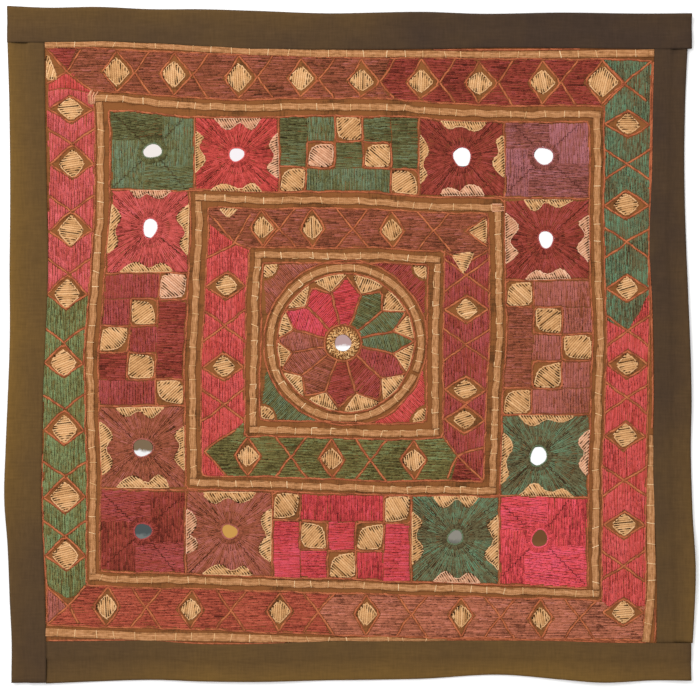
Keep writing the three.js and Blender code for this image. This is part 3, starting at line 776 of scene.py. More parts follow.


# Satin fields
# Rows of coloured floss that fill the bands, patches and petals between the outlines. Each row is made
# of flat stitches laid end to end. Its gloss, painted into its colour, changes with the way that it runs.
# Where the rows lie loose they part, and thin dark slivers of the same floss lie in the gaps: painted shade.
SATIN_PITCH = 0.95
SATIN_WIDTH = 1.1
SATIN_LENGTH = 5.4
SATIN_LAP = 0.55  # a stitch runs under the next one in its row
SATIN_RISE = 0.5
SATIN_CLEAR = 0.62  # from the middle of an outline to the ends of the stitches
SHORTEST = 0.9
FIRST_ROW = 0.45  # of a pitch, from the edge of a shape to its first row
FIELD_TILT = 0.03
ROW_SHIFT = 0.05
BREAK_SHIFT = 0.36  # of a stitch, from the even place to where a row's next stitch starts
START_SLIP = 0.06
END_SLIP = 0.12
SATIN_TONE = 0.56
FIELD_LUSTRE = 0.24
FAN_LUSTRE = 0.1
SHADE_SPREAD = 0.11
SHADE_DRIFT = 0.1
SHADE_WAVE = 30
PARTING_SPACING = 1.3  # along a loose row, on average, from one parting to the next
PARTING_WIDTH = 0.64
PARTING_FULLNESS = (0.6, 1.3)
PARTING_LENGTHS = (0.9, 3.6)
PARTING_RISE = SATIN_RISE + 0.3
PARTING_SHADES = (-0.3, 0.1)
LOOSE_MEAN = 0.55
LOOSE_SWING = 0.45
LOOSE_WAVE = 36

# Dye lots: the floss's colours where it is dull, in its body and where it is lit, and how loose it lies.
# The dull colour is painted shade and the lit one a painted sheen, and both carry its uneven tone too.
DYES = rows_of(
    "name dull body lit loose",
    [
        ("crimson", "5a1414", "b83e3e", "c84e5c", 1),
        ("pink", "64181a", "cc484a", "da566a", 1),
        ("rose", "5c1e14", "b04a42", "c85e60", 1.2),
        ("red", "54180e", "b2423a", "cc5856", 1.3),
        ("maroon", "3c1008", "8c3a2c", "a24a4a", 1),
        ("rust", "501c10", "a24a36", "b65e48", 1),
        ("russet", "502616", "aa644a", "c07868", 1),
        ("plum", "40200e", "8e4c34", "a66058", 1),
        ("mauve", "42201a", "8a4c42", "a26468", 1),
        ("green", "2a220c", "605e38", "687a5f", 1.3),
        ("olive", "2c220a", "6c6336", "788c60", 1.8),
        ("emerald", "261808", "5f5639", "5f8062", 2),
    ],
)
looseness = {dye.name: dye.loose for dye in DYES}
satin = {dye.name: [] for dye in DYES}
shade_partings = {dye.name: [] for dye in DYES}
seam_rows = []


def thick(line, half):
    """The outline of a line that is given some width."""
    way = np.gradient(line, axis=0)
    way /= np.linalg.norm(way, axis=1, keepdims=True)
    aside = half * np.column_stack((-way[:, 1], way[:, 0]))
    return np.concatenate((line + aside, (line - aside)[::-1]))


def spans(outline):
    """Stretches of the level line through zero that lie inside an outline."""
    u, v = outline.T
    next_u, next_v = np.roll(u, -1), np.roll(v, -1)
    cut = (v > 0) != (next_v > 0)
    share = v[cut] / (v[cut] - next_v[cut])
    places = np.sort(u[cut] + share * (next_u[cut] - u[cut]))
    return [tuple(pair) for pair in places.reshape(-1, 2)]


def shared(stretches, others):
    """What two lists of stretches have in common."""
    pairs = [(max(a, c), min(b, d)) for a, b in stretches for c, d in others]
    return [(a, b) for a, b in pairs if b > a]


def without(stretches, gaps):
    """Stretches with some gaps taken out of them."""
    for start, end in gaps:
        before = [(a, min(b, start)) for a, b in stretches if a < start]
        after = [(max(a, end), b) for a, b in stretches if b > end]
        stretches = before + after
    return stretches


def way_of(angle):
    return np.array((math.cos(angle), math.sin(angle)))


def left_of(way):
    return np.array((-way[1], way[0]))


def cut_row(inside, holes, foot, way):
    """Stretches of a row, as distances from its foot, that lie in all of some outlines and in no hole."""
    turn = np.column_stack((way, left_of(way)))
    stretches = spans((inside[0] - foot) @ turn)
    for outline in inside[1:]:
        stretches = shared(stretches, spans((outline - foot) @ turn))
    for hole in holes if stretches else ():
        stretches = without(stretches, spans((hole - foot) @ turn))
    return [(start, end) for start, end in stretches if end - start > SHORTEST]


def feet_across(outline, angle, pitch):
    """Feet of the rows at an angle that cross an outline, a pitch apart."""
    across = left_of(way_of(angle))
    places = outline @ across
    levels = np.arange(places.min() + pitch * FIRST_ROW, places.max(), pitch)
    return [across * level for level in levels]


def lustre(angle, lit, spread):
    """Floss that runs the way that catches the light looks brighter than floss that runs across it."""
    # This gloss is painted into the floss's colour, as a lighter or darker shade.
    turn = abs(math.sin(angle)) if lit == "upright" else abs(math.cos(angle))
    return SATIN_TONE + spread * (turn - 0.5)


def lay_row(dye, foot, way, start, end, shade, slack=1):
    """Stitches laid end to end along a row, with dark slivers of painted shade beside them where the work is
    loose.
    """
    count = max(1, round((end - start) / SATIN_LENGTH))
    breaks = np.linspace(start, end, count + 1)
    breaks[1:-1] += rng.uniform(-BREAK_SHIFT, BREAK_SHIFT, count - 1) * SATIN_LENGTH
    starts = foot + way * np.maximum(breaks[:-1] - SATIN_LAP, start)[:, None]
    ends = foot + way * np.minimum(breaks[1:] + SATIN_LAP, end)[:, None]
    x, y = ((starts + ends) / 2).T
    satin[dye].append(
        stitch_rows(
            starts + rng.normal(0, START_SLIP, (count, 2)),
            ends + rng.normal(0, END_SLIP, (count, 2)),
            about(SATIN_WIDTH, 0.12, count),
            STITCH_ROOT,
            about(SATIN_RISE, 0.2, count) + STITCH_SINK,
            shade + SHADE_DRIFT * wander(x, y, SHADE_WAVE) + rng.normal(0, SHADE_SPREAD, count),
        )
    )
    by_place = (LOOSE_MEAN + LOOSE_SWING * wander(x[0], y[0], LOOSE_WAVE)) ** 2
    loose = slack * looseness[dye] * by_place
    # Each parting is a sliver of the row's floss shaded to its dull colour: painted shade in the gap between
    # rows.
    for _ in range(rng.poisson((end - start) * loose / PARTING_SPACING)):
        reach = min(rng.uniform(*PARTING_LENGTHS), end - start)
        place = start + (end - start - reach) * rng.random()
        line = foot + left_of(way) * SATIN_PITCH / 2 + way * np.array((place, place + reach))[:, None]
        width = PARTING_WIDTH * rng.uniform(*PARTING_FULLNESS)
        dim = rng.uniform(*PARTING_SHADES)
        shade_partings[dye].append(stitch_rows(line[:1], line[1:], width, STITCH_ROOT, PARTING_RISE, dim))


def fill(dye, inside, angle, holes=(), shade=0.0, lit="upright"):
    """Satin rows side by side over a field."""
    angle += rng.normal(0, FIELD_TILT)
    way = way_of(angle)
    for foot in feet_across(inside[0], angle, SATIN_PITCH):
        foot = foot + left_of(way) * rng.normal(0, ROW_SHIFT)
        for start, end in cut_row(inside, holes, foot, way):
            lay_row(dye, foot, way, start, end, lustre(angle, lit, FIELD_LUSTRE) + shade)


# Runs of one colour along the bands: where each starts and ends, at the band's outer edge, along its
# middle and at its inner edge. The ends beyond a mitre are cut off by it. The rows of a crosswise run
# lie across the band.
PAST_END = 210
BAND_RUNS = rows_of(
    "band side dye start_outer start_middle start_inner end_outer end_middle end_inner crosswise",
    [
        ("outer", "top", "maroon", -PAST_END, -PAST_END, -PAST_END, -161, -170, -168, 0),
        ("outer", "top", "plum", -161, -170, -168, 27, 18, 27, 0),
        ("outer", "top", "maroon", 27, 18, 27, 145.8, 164.6, 151, 0),
        ("outer", "top", "emerald", 145.8, 164.6, 151, PAST_END, PAST_END, PAST_END, 1),
        ("outer", "left", "red", 156, 163.5, 160, 152.3, 154, 148.8, 0),
        ("outer", "left", "rose", 152.3, 154, 148.8, 30.6, 30.6, 30.6, 0),
        ("outer", "left", "olive", 30.6, 30.6, 30.6, -140.5, -151.5, -147, 0),
        ("outer", "left", "plum", -140.5, -156, -150, -PAST_END, -PAST_END, -PAST_END, 0),
        ("outer", "bottom", "rust", -PAST_END, -PAST_END, -PAST_END, -8, -18.6, -9, 0),
        ("outer", "bottom", "russet", -8, -18.6, -9, PAST_END, PAST_END, PAST_END, 0),
        ("outer", "right", "emerald", PAST_END, PAST_END, PAST_END, 40, 8.4, 17.5, 0),
        ("outer", "right", "red", 40, 8.4, 17.5, -157, -157, -157, 0),
        ("outer", "right", "russet", -157, -157, -157, -PAST_END, -PAST_END, -PAST_END, 1),
        ("inner", "top", "plum", -PAST_END, -PAST_END, -PAST_END, PAST_END, PAST_END, PAST_END, 0),
        ("inner", "right", "plum", PAST_END, PAST_END, PAST_END, 57, 51, 55, 1),
        ("inner", "right", "maroon", 57, 51, 55, -PAST_END, -PAST_END, -PAST_END, 0),
        ("inner", "bottom", "red", -PAST_END, -PAST_END, -PAST_END, -70, -84, -98, 1),
        ("inner", "bottom", "olive", -70, -84, -98, 58, 64.4, 60, 0),
        ("inner", "bottom", "maroon", 58, 64.4, 60, PAST_END, PAST_END, PAST_END, 0),
        ("inner", "left", "plum", PAST_END, PAST_END, PAST_END, 78, 63, 55, 1),
        ("inner", "left", "red", 78, 63, 55, -68.2, -55.5, -42.4, 0),
        ("inner", "left", "olive", -68.2, -55.5, -42.4, -55.4, -76.6, -98, 1),
        ("inner", "left", "red", -55.4, -76.6, -98, -PAST_END, -PAST_END, -PAST_END, 0),
    ],
)
OUTSIDE, MIDDLE, INSIDE = -0.2, 0.5, 1.2
MITRE_LAP = 0.3
for run in BAND_RUNS:
    shape = [
        on_side(run, along, depth)
        for along, depth in (
            (run.start_outer, OUTSIDE),
            (run.end_outer, OUTSIDE),
            (run.end_middle, MIDDLE),
            (run.end_inner, INSIDE),
            (run.start_inner, INSIDE),
            (run.start_middle, MIDDLE),
        )
    ]
    side = drawn(drawn_in(band_side(run.band, run.side), SATIN_CLEAR, -MITRE_LAP), closed=True)
    holes = [thick(line, SATIN_CLEAR) for line in band_lines[run.band]] + diamond_outlines[run.band]
    level = (run.side in LEVEL_SIDES) != bool(run.crosswise)
    fill(run.dye, [side, drawn(shape, closed=True)], 0 if level else math.pi / 2, holes)

# A plain patch is worked in four fields round its mirror, upright and level by turns. Their seams miss
# the middle like a pinwheel's. A star patch is one fan of rows that spread from its mirror. On both, dark
# stitches slant to and fro over the diagonals.
FIELD_REACH = 60
FIELD_LAP = 0.9  # a field's stitches run under the next field by this
PINWHEEL = (3, 9)
LEVEL_TILT = 0.12
FIELD_SHADES = (-0.04, 0.06)
SEAM_START = 8.5
SEAM_TURN = 0.06
SEAM_STEP = 1.7
SEAM_SHIFT = 0.2
SEAM_SLANT = 0.7
SEAM_WIDTH = 0.6
SEAM_RISE = SATIN_RISE + 0.4
SEAM_SHADES = (0, 0.7)
SEAM_RINGS = ((0.15, 1), (0.85, 1))
GLASS_CLEAR = 6.4
PATCH_CLEAR = 0.75
FAN_RAYS = 256
FAN_SHIFT = 0.3  # of the angle between two rays
FAN_SLACK = 0.5  # rows that spread from a mirror lie closer than others
FAN_STARTS = ((8, GLASS_CLEAR), (4, 7), (2, 11.5), (1, 23))  # every so many rays, from so far out
SCALLOP_POINTS = 25
SCALLOP_FROM = (0.14, 0.24)
SCALLOP_DEPTH = (0.085, 0.155)
SCALLOP_WAIST = (0.015, 0.06)
SCALLOP_SHARP = (0.6, 1.5)
SCALLOP_LEAN = 0.06


def middle_of(node):
    """The middle of a node, in the design's millimetres."""
    low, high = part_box(node)
    return np.array((low + high)[:2]) / 2 / MM


def circle_at(centre, radius):
    return np.array([turned(centre, radius, turn) for turn in range(0, 360, 12)])


def scallop(side):
    """A two-humped shape along one side of a patch, with humps of uneven depth."""
    start, end = rng.uniform(*SCALLOP_FROM), 1 - rng.uniform(*SCALLOP_FROM)
    humps = rng.uniform(*SCALLOP_DEPTH, 2)
    waist, sharp = rng.uniform(*SCALLOP_WAIST), rng.uniform(*SCALLOP_SHARP)
    lean = rng.uniform(-SCALLOP_LEAN, SCALLOP_LEAN)
    outline = []
    for share in np.linspace(0, 1, SCALLOP_POINTS):
        hump = humps[0 if share < 0.5 else 1] * abs(math.sin(2 * math.pi * share)) ** sharp
        middle = waist * math.sin(math.pi * share) ** 0.5 * abs(math.cos(2 * math.pi * share))
        shift = lean * math.sin(math.pi * share)
        outline.append(in_quad(side, start + (end - start) * share + shift, max(hump, middle)))
    return by_hand(np.array(outline))


def fan(patch, centre, field, holes):
    """Rows that spread from the middle of a field, with more of them farther out."""
    for number in range(FAN_RAYS):
        angle = 2 * math.pi * (number + rng.uniform(-FAN_SHIFT, FAN_SHIFT)) / FAN_RAYS
        first = next(start for every, start in FAN_STARTS if number % every == 0)
        way = way_of(angle)
        for start, end in shared(cut_row([field], holes, centre, way), [(first, FIELD_REACH)]):
            shade = lustre(angle, patch.lit, FAN_LUSTRE) + patch.lighter
            lay_row(patch.dye, centre, way, start, end, shade, FAN_SLACK)


def zigzag(field, holes, centre, angle):
    """Dark stitches that slant to and fro over a seam."""
    way = way_of(angle)
    for start, end in shared(cut_row([field], holes, centre, way), [(SEAM_START, FIELD_REACH)]):
        places = np.arange(start, end - SEAM_STEP, SEAM_STEP) + rng.normal(0, SEAM_SHIFT)
        slant = SEAM_SLANT * (-1) ** np.arange(len(places))[:, None] * left_of(way)
        starts = centre + way * places[:, None] - slant
        ends = starts + 2 * slant + way * SEAM_STEP
        shades = rng.uniform(*SEAM_SHADES, len(places))
        seam_rows.append(stitch_rows(starts, ends, SEAM_WIDTH, STITCH_ROOT, SEAM_RISE, shades))


# Fields of a chevron patch between its gold blocks: the columns and rows of blocks that each covers, and
# the strips on which its rows run inwards. Elsewhere they run along the strip.
EVERY_STRIP = ("top", "right", "bottom", "left")
CHEVRON_FIELDS = rows_of(
    "columns rows inward_on",
    [
        ((0, 1), (0, 2), ()),
        ((1, 2), (0, 1), ("top",)),
        ((2, 3), (1, 2), ()),
        ((3, 4), (0, 1), ("bottom", "left")),
        ((4, 5), (0, 2), ()),
        ((1, 4), (2, 3), EVERY_STRIP),
    ],
)
scallops = {patch.name: [] for patch in PATCHES}
for patch in PATCHES:
    quad = patch_quad(patch)
    field = drawn(drawn_in(quad, PATCH_CLEAR), closed=True)
    if patch.work == "chevron":
        holes = [thick(line, SATIN_CLEAR) for line in block_lines]
        for part in CHEVRON_FIELDS:
            corners = [(part.columns[i], part.rows[j]) for i, j in ((0, 0), (1, 0), (1, 1), (0, 1))]
            shape = [in_quad(quad, column / BLOCK_COLUMNS, row / BLOCK_ROWS) for column, row in corners]
            level = (patch.strip in LEVEL_SIDES) != (patch.strip in part.inward_on)
            inside = [drawn(shape, closed=True), field]
            fill(patch.dye, inside, 0 if level else math.pi / 2, holes, patch.lighter, patch.lit)
        continue
    centre = middle_of("mirror_" + patch.name)
    holes = [circle_at(centre, GLASS_CLEAR)]
    if patch.work == "star":
        edges = drawn_in(quad, SATIN_CLEAR)
        for turn in range(4):
            side = edges[turn:] + edges[:turn]
            scallops[patch.name].append((side, scallop(side)))
        holes += [outline for _, outline in scallops[patch.name]]
        fan(patch, centre, field, holes)
    else:
        seams = [turned(centre, rng.uniform(*PINWHEEL), 90 * turn + 90) for turn in range(4)]
        for turn in range(4):
            near, far = seams[turn], turned(seams[(turn + 1) % 4], -FIELD_LAP, 90 * turn)
            ends = [
                turned(near, FIELD_REACH, 90 * turn),
                turned(centre, 2 * FIELD_REACH, 90 * turn + 45),
                turned(far, FIELD_REACH, 90 * turn + 90),
            ]
            wedge = np.array([centre, near, *ends, far])
            angle = math.pi / 2 if turn % 2 == 0 else LEVEL_TILT
            shade = patch.lighter + rng.uniform(*FIELD_SHADES)
            fill(patch.dye, [field, wedge], angle, holes, shade, patch.lit)
    for turn in range(4):
        angle = math.pi / 4 + math.pi / 2 * turn + rng.normal(0, SEAM_TURN)
        zigzag(field, holes, centre, angle)

# The flower's petals have rows that run across them, and the corners round its ring have rows that run
# towards the corner.
PETAL_CLEAR = 0.62
PETAL_SLANT = 15
PETAL_CHANGE = 0.04  # petals are lighter and darker by turns
SPANDREL_RADIUS = RING_RADIUS + RING_CHANNEL + PETAL_CLEAR
SPANDREL_ARC = (-27, -18, -9, 0, 9, 18, 27)
SPANDREL_DYES = ("plum", "maroon", "red", "green")
CORNER_INSET = 0.02  # of the way from a corner of the square to the middle of the ring
CORNER_PATCH = 9
CORNER_ARC = range(-75, 90, 15)
petal_holes = [thick(line, PETAL_CLEAR) for line in petal_lines]
for number, petal in enumerate(PETALS):
    before, after = petal_valley(number - 1), petal_valley(number)
    tip = turned(FLOWER_CENTRE, petal.reach, petal.turn)
    outline = drawn([before[0], before[1], tip, after[1], after[0]], closed=True)
    angle = math.radians(-petal.turn + PETAL_SLANT)
    fill(petal.dye, [outline], angle, petal_holes, PETAL_CHANGE * (-1) ** number)
spandrels = []
for corner, turn in zip(SQUARES["flower_square"], (-45, 45, 135, 225)):
    arc = [turned(RING_CENTRE, SPANDREL_RADIUS, turn + step) for step in SPANDREL_ARC]
    spandrels.append((turn, corner, arc))
for (turn, corner, arc), dye in zip(spandrels, SPANDREL_DYES):
    inner = mix(corner, RING_CENTRE, CORNER_INSET)
    bare = [turned(inner, CORNER_PATCH, turn + 180 + step) for step in CORNER_ARC]
    hole = by_hand(np.array([*bare, corner]))
    fill(dye, [drawn([inner, *arc], closed=True)], math.radians(90 - turn), [hole])

satin_pieces = []
for dye in DYES:
    material = floss(dye.name + "_floss", dye.dull, dye.body, dye.lit)
    satin_pieces.append(sew("satin_" + dye.name, satin[dye.name], material))
    # Each dye's partings are slivers of its floss in its dull colour: painted shade in the gaps between its
    # rows.
    name = "satin_" + dye.name + "_partings"
    satin_pieces.append(sew(name, shade_partings[dye.name], material, SLIVER_RINGS, SLIVER_SECTION))
seam_thread = floss("seam_thread", "30140a", "482212", "60321c", 0.9, 0)
satin_pieces.append(sew("satin_seams", seam_rows, seam_thread, SEAM_RINGS, SLIVER_SECTION))


# Gold motifs
# Diamonds, blocks, scallops and wedges in thick cream floss, or a pinker one here and there, laid over in
# single long stitches inside a rim of stem stitch. The stitches part at their ends, or right across, and
# thin dark slivers in the gaps are painted shade there, over the brown ground that shows through.
GOLD_PITCH = 1.3
GOLD_WIDTH = 1.6
GOLD_RISE = 0.8
GOLD_TILT = 0.12
GOLD_SLIP = 0.2
GOLD_TONES = (0.4, 0.6)
GOLD_TONE_SPREAD = 0.09
RIM_WIDTH = 0.8
RIM_RISE = 0.64
RIM_SHADES = (0.5, 1)
RIM_CLEAR = 0.25
SLIT_WIDTH = 1.7
SLIT_RISE = GOLD_RISE + 0.45
SLIT_LENGTHS = (1.6, 6)
SLIT_REACH = 0.6  # the longest slit, as a share of its stitch
SLIT_SHARE = 0.85
FAR_SLIT_SHARE = 0.35  # of the stitches that part at their other end too
SLIT_RINGS = ((0.1, 1), (0.6, 0.8))
PARTED_SHARE = 0.45  # of the motifs that have one slit right across
PARTED_REACH = 0.9
BLUSH_SHARE = 0.25
gold_rows = {"cream": [], "blush": []}
slit_rows = []


def gold_fill(outline, angle, slit_end, slits=SLIT_SHARE, blush=0.0):
    """Thick stitches across a shape, with slits that run in from their first end (-1) or their last (1)."""
    angle += rng.normal(0, GOLD_TILT)
    way = way_of(angle)
    rows = gold_rows["blush" if rng.random() < blush else "cream"]
    tone = rng.uniform(*GOLD_TONES)
    near, far = (FAR_SLIT_SHARE, slits) if slit_end > 0 else (slits, FAR_SLIT_SHARE)
    feet = feet_across(outline, angle, GOLD_PITCH)
    parted = rng.integers(len(feet)) if rng.random() < PARTED_SHARE else None
    rows.append(stem_stitch(np.concatenate((outline, outline[:1])), RIM_WIDTH, RIM_RISE, RIM_SHADES))
    for number, foot in enumerate(feet):
        for start, end in cut_row([outline], (), foot, way):
            ends = np.array((start, end)) + rng.normal(0, GOLD_SLIP, 2)
            line = foot + way * ends[:, None]
            rows.append(
                stitch_rows(
                    line[:1],
                    line[1:],
                    about(GOLD_WIDTH, 0.1),
                    STITCH_ROOT,
                    about(GOLD_RISE, 0.15) + STITCH_SINK,
                    tone + rng.normal(0, GOLD_TONE_SPREAD),
                )
            )
            for rim, inward, share in ((start, 1, near), (end, -1, far)):
                if rng.random() > share and number != parted:
                    continue
                if number == parted:
                    reach = PARTED_REACH * (end - start)
                else:
                    reach = min(rng.uniform(*SLIT_LENGTHS), SLIT_REACH * (end - start))
                # A slit is a dark sliver in the gap beside the stitch: painted shade, over the brown ground
                # that shows there.
                slit = np.array((rim + inward * RIM_CLEAR, rim + inward * reach))
                line = foot + left_of(way) * GOLD_PITCH / 2 + way * slit[:, None]
                width, shade = about(SLIT_WIDTH, 0.3), rng.uniform(0, 1)
                slit_rows.append(stitch_rows(line[:1], line[1:], width, STITCH_ROOT, SLIT_RISE, shade))


MOST_ROUNDING = 0.48
ROUNDING_POINTS = 7


def soft_shape(corners, rounding):
    """A shape whose corners are rounded off by hand, each by its own share of the sides."""
    outline = []
    count = len(corners)
    for i, (corner, share) in enumerate(zip(corners, rounding)):
        share = min(MOST_ROUNDING, about(share, 0.3))
        start, end = mix(corner, corners[i - 1], share), mix(corner, corners[(i + 1) % count], share)
        for t in np.linspace(0, 1, ROUNDING_POINTS):
            outline.append(mix(mix(start, corner, t), mix(corner, end, t), t))
    return by_hand(np.array(outline))


DIAMOND_GROWTH = (1, 1.12)
DIAMOND_TILT = 0.15  # of the stitches in diamonds on upright sides
BLOCK_INSET = 1.2
BLOCK_SHORT = (0.04, 0.16)  # how far the stitches stay off one corner, as a share of the diagonal
BLOCK_BLUSH = 0.12
SCALLOP_SLANT = 57
WEDGE_SHARES = (0.08, 0.28, 0.5, 0.72, 0.92)  # points along a wedge's arc, from one petal to the next
WEDGE_SLITS = 0.9
WEDGE_APEX = PETAL_VALLEY + 1
SPANDREL_GOLD_INSET = 0.03
SPANDREL_GOLD_REACH = CORNER_PATCH - 2
SPANDREL_GOLD_ARC = range(-50, 60, 20)
HALF_ROUNDING = (0.12, 0.12, 0.12)
BLOCK_ROUNDING = (0.36, 0.06, 0.22, 0.06)  # the short corner, a side, the far corner, a side
DIAMOND_ROUNDING = (0.05, 0.15, 0.28, 0.15)  # the point towards the tie, a side, the far end, a side
for row in BAND_SIDES:
    level = row.side in LEVEL_SIDES
    for place in row.diamonds:
        centre = on_side(row, place, 0.5)
        along, across = np.array((row.gold_along, row.gold_across)) * rng.uniform(*DIAMOND_GROWTH, 2)
        steps = ((along, 0), (0, across), (-along, 0), (0, -across))
        corners = [centre + (step if level else step[::-1]) for step in steps]
        angle = math.pi / 2 if level else DIAMOND_TILT
        gold_fill(soft_shape(corners, DIAMOND_ROUNDING), angle, 1 if level else -1)
for patch in PATCHES:
    for column, row in GOLD_BLOCKS if patch.work == "chevron" else ():
        block = drawn_in(block_quad(patch, column, row), BLOCK_INSET)
        short = rng.integers(4)  # the corner that the stitches don't reach
        block[short] = mix(block[short], block[short - 2], rng.uniform(*BLOCK_SHORT))
        run = block[short] - block[short - 2]
        angle = math.atan2(run[1], run[0])
        gold_fill(soft_shape(block, np.roll(BLOCK_ROUNDING, short)), angle, 1, blush=BLOCK_BLUSH)
    for side, outline in scallops[patch.name]:
        run = np.subtract(side[1], side[0])
        angle = math.atan2(run[1], run[0]) - math.radians(SCALLOP_SLANT)
        gold_fill(outline, angle, -1, 1, BLUSH_SHARE)
for number, petal in enumerate(PETALS):
    after = PETALS[(number + 1) % len(PETALS)]
    width = (after.turn - petal.turn) % 360
    turns = [petal.turn + width * share for share in WEDGE_SHARES]
    arc = [turned(RING_CENTRE, WEDGE_REACH, turn) for turn in turns]
    apex = turned(FLOWER_CENTRE, WEDGE_APEX, turns[2])
    gold_fill(by_hand(np.array([apex, *arc])), math.radians(90 - turns[2]), 1, WEDGE_SLITS)
for turn, corner, arc in spandrels:
    inner = mix(corner, RING_CENTRE, SPANDREL_GOLD_INSET)
    reach = [turned(inner, SPANDREL_GOLD_REACH, turn + 180 + step) for step in SPANDREL_GOLD_ARC]
    gold_fill(by_hand(np.array([inner, *reach])), math.radians(90 - turn), 1)

# Half motifs where the edge of the design cuts one off: its corners, and the angle of its stitches.
HALF_MOTIFS = (
    (((-182.4, 175), (-175.8, 159.5), (-182.4, 158.6)), 70),
    (((-79.5, 82), (-68, 82), (-74.6, 76)), 50),
    (((82, 75.6), (70.8, 68), (81.6, 60.6)), 15),
    (((60, 53.8), (74.4, 55.4), (67.6, 42.6)), 0),
)
for corners, degrees in HALF_MOTIFS:
    gold_fill(soft_shape(corners, HALF_ROUNDING), math.radians(degrees), 1)

# Dark floss for the slits and specks: painted shade in the gaps between stitches, where the brown ground
# shows.
gap_shade = floss("gap_shade", "2c1a0c", "44290f", "5e3c1c", 0.9, 0)
gold_pieces = [
    sew("gold_motifs", gold_rows["cream"], floss("cream_floss", "946436", "c69664", "deb486", 0.55)),
    sew("blush_motifs", gold_rows["blush"], floss("blush_floss", "a06a4a", "ca9674", "dfb496", 0.55)),
    sew("gold_slits", slit_rows, gap_shade, SLIT_RINGS, SLIVER_SECTION),
]


# Couched braid
# Tan braid of five soft threads side by side, laid on the bare ground between the bands in lengths, and
# held down by cream stitches over it: plain bars on the outer frames, hooked ones nearer the flower. Two
# of the cut ends have frayed.
FRAME_BRAID = 3.6
BRAID_THREADS = 5
BRAID_STEP = 1.8
THREAD_SIDES = 6
BRAID_LOW = 1.52
BRAID_HEIGHT = 0.92
BRAID_CROWN = 0.14
BRAID_GAP = 0.3
THREAD_FULLNESS = 1.5  # width of a thread, against its share of the braid
THREAD_WAVER = 0.12
THREAD_WAVER_WAVE = 5.3
THREAD_WAVER_TURN = 1.9  # from one thread's waver to the next one's
THREAD_TONE = 0.6
TIP_TONE = 0.4
EDGE_THREAD_DULLER = 0.12
TONE_DRIFT = 0.1
TONE_DRIFT_WAVE = 17
TONE_DRIFT_TURN = 2.3
TONE_SPREAD = 0.12
PINCH_REACH = 1.2  # along the braid, to each side of a stitch
PINCH_SINK = 0.16  # of a thread's height
BAR_PINCH = 0.1  # of the braid's width
HOOK_PINCH = 0.22
TICK_WIDTH = 0.64
TICK_RISE = 1.5
TICK_PAST = 0.35  # a bar reaches past the edge of the braid
TICK_SKEW = 0.35
TICK_SHADES = (0.2, 0.9)
HOOK_LEG = 3.8
HOOK_FULLNESS = (0.7, 1.1)
HOOK_SPLAY = (-0.3, 0.9)
HOOK_RISE = TICK_RISE * 0.9
HOOK_INSET = 0.3
HOOK_SHARE = 0.8
FIRST_TICK = 0.6  # of a pace, from the braid's start
LAST_TICK = 0.3
TICK_SHIFT = 0.07

# Lengths of the square frames, with the pace of the stitches, and the share of the length where the hooked
# ones start: 1 where all are plain bars.
BRAID_LENGTHS = rows_of(
    "frame side pace hooked_from",
    [
        ("wide", "top", 10.6, 1),
        ("wide", "right", 11.4, 1),
        ("wide", "bottom", 10.6, 1),
        ("wide", "left", 10.6, 1),
        ("middle", "top", 11.4, 1),
        ("middle", "right", 8.8, 0),
        ("middle", "bottom", 10.4, 0.62),
        ("middle", "left", 10.2, 1),
        ("narrow", "top", 9.6, 0),
        ("narrow", "right", 9.4, 0),
        ("narrow", "bottom", 10.4, 0),
        ("narrow", "left", 8.8, 0),
    ],
)

# Braid beside the border: places along its strip, with the distance from the middle of the cloth and the
# width that shows there. It narrows where it runs in under the strip.
EDGE_BRAIDS = {
    "top": ((-183, 179.8, 3.3), (-150, 180.6, 2.9), (-120, 179.5, 2.9), (-90, 177.7, 3.2), (-60, 176, 3.4),
            (-18, 174.9, 4), (48, 174.5, 3.6), (78, 174.1, 3.3), (126, 174.3, 3.8), (182.5, 175.2, 4.1)),
    "right": ((-54, 180.8, 1.8), (-72, 180.3, 3), (-95, 180.3, 4.2), (-126, 180.8, 4.4), (-141, 181, 4.4),
              (-153, 180.3, 4.3), (-164, 179.1, 4.3), (-178.2, 177.4, 4.3)),
    "bottom": ((-182.5, -172.3, 4.4), (-150, -173.6, 4.5), (-120, -175, 4.4), (-90, -175, 4.6),
               (-60, -176, 4.4), (-30, -176.6, 3.3), (-12, -176.5, 1.9), (0, -176.5, 1.9),
               (18, -176.3, 2.6), (36, -176.8, 1.6), (58, -177, 0.8)),
}
EDGE_PACE = 11.6
EDGE_POINTS = 90
RING_PACE = 8.6
RING_HOOKED_FROM = 0.3
RING_MOUTH = 3
RING_START = 112
RING_POINTS = 120


def frame_line(name, side):
    """A side of a square braid: level ones run past the corners, and upright ones butt against them."""
    start, end = (np.array(SQUARES[name + "_braid"][i]) for i in SIDES[side])
    trim = -FRAME_BRAID / 2 if side in LEVEL_SIDES else FRAME_BRAID / 2 + BRAID_GAP
    share = trim / np.linalg.norm(end - start)
    return drawn([mix(start, end, share), mix(start, end, 1 - share)])


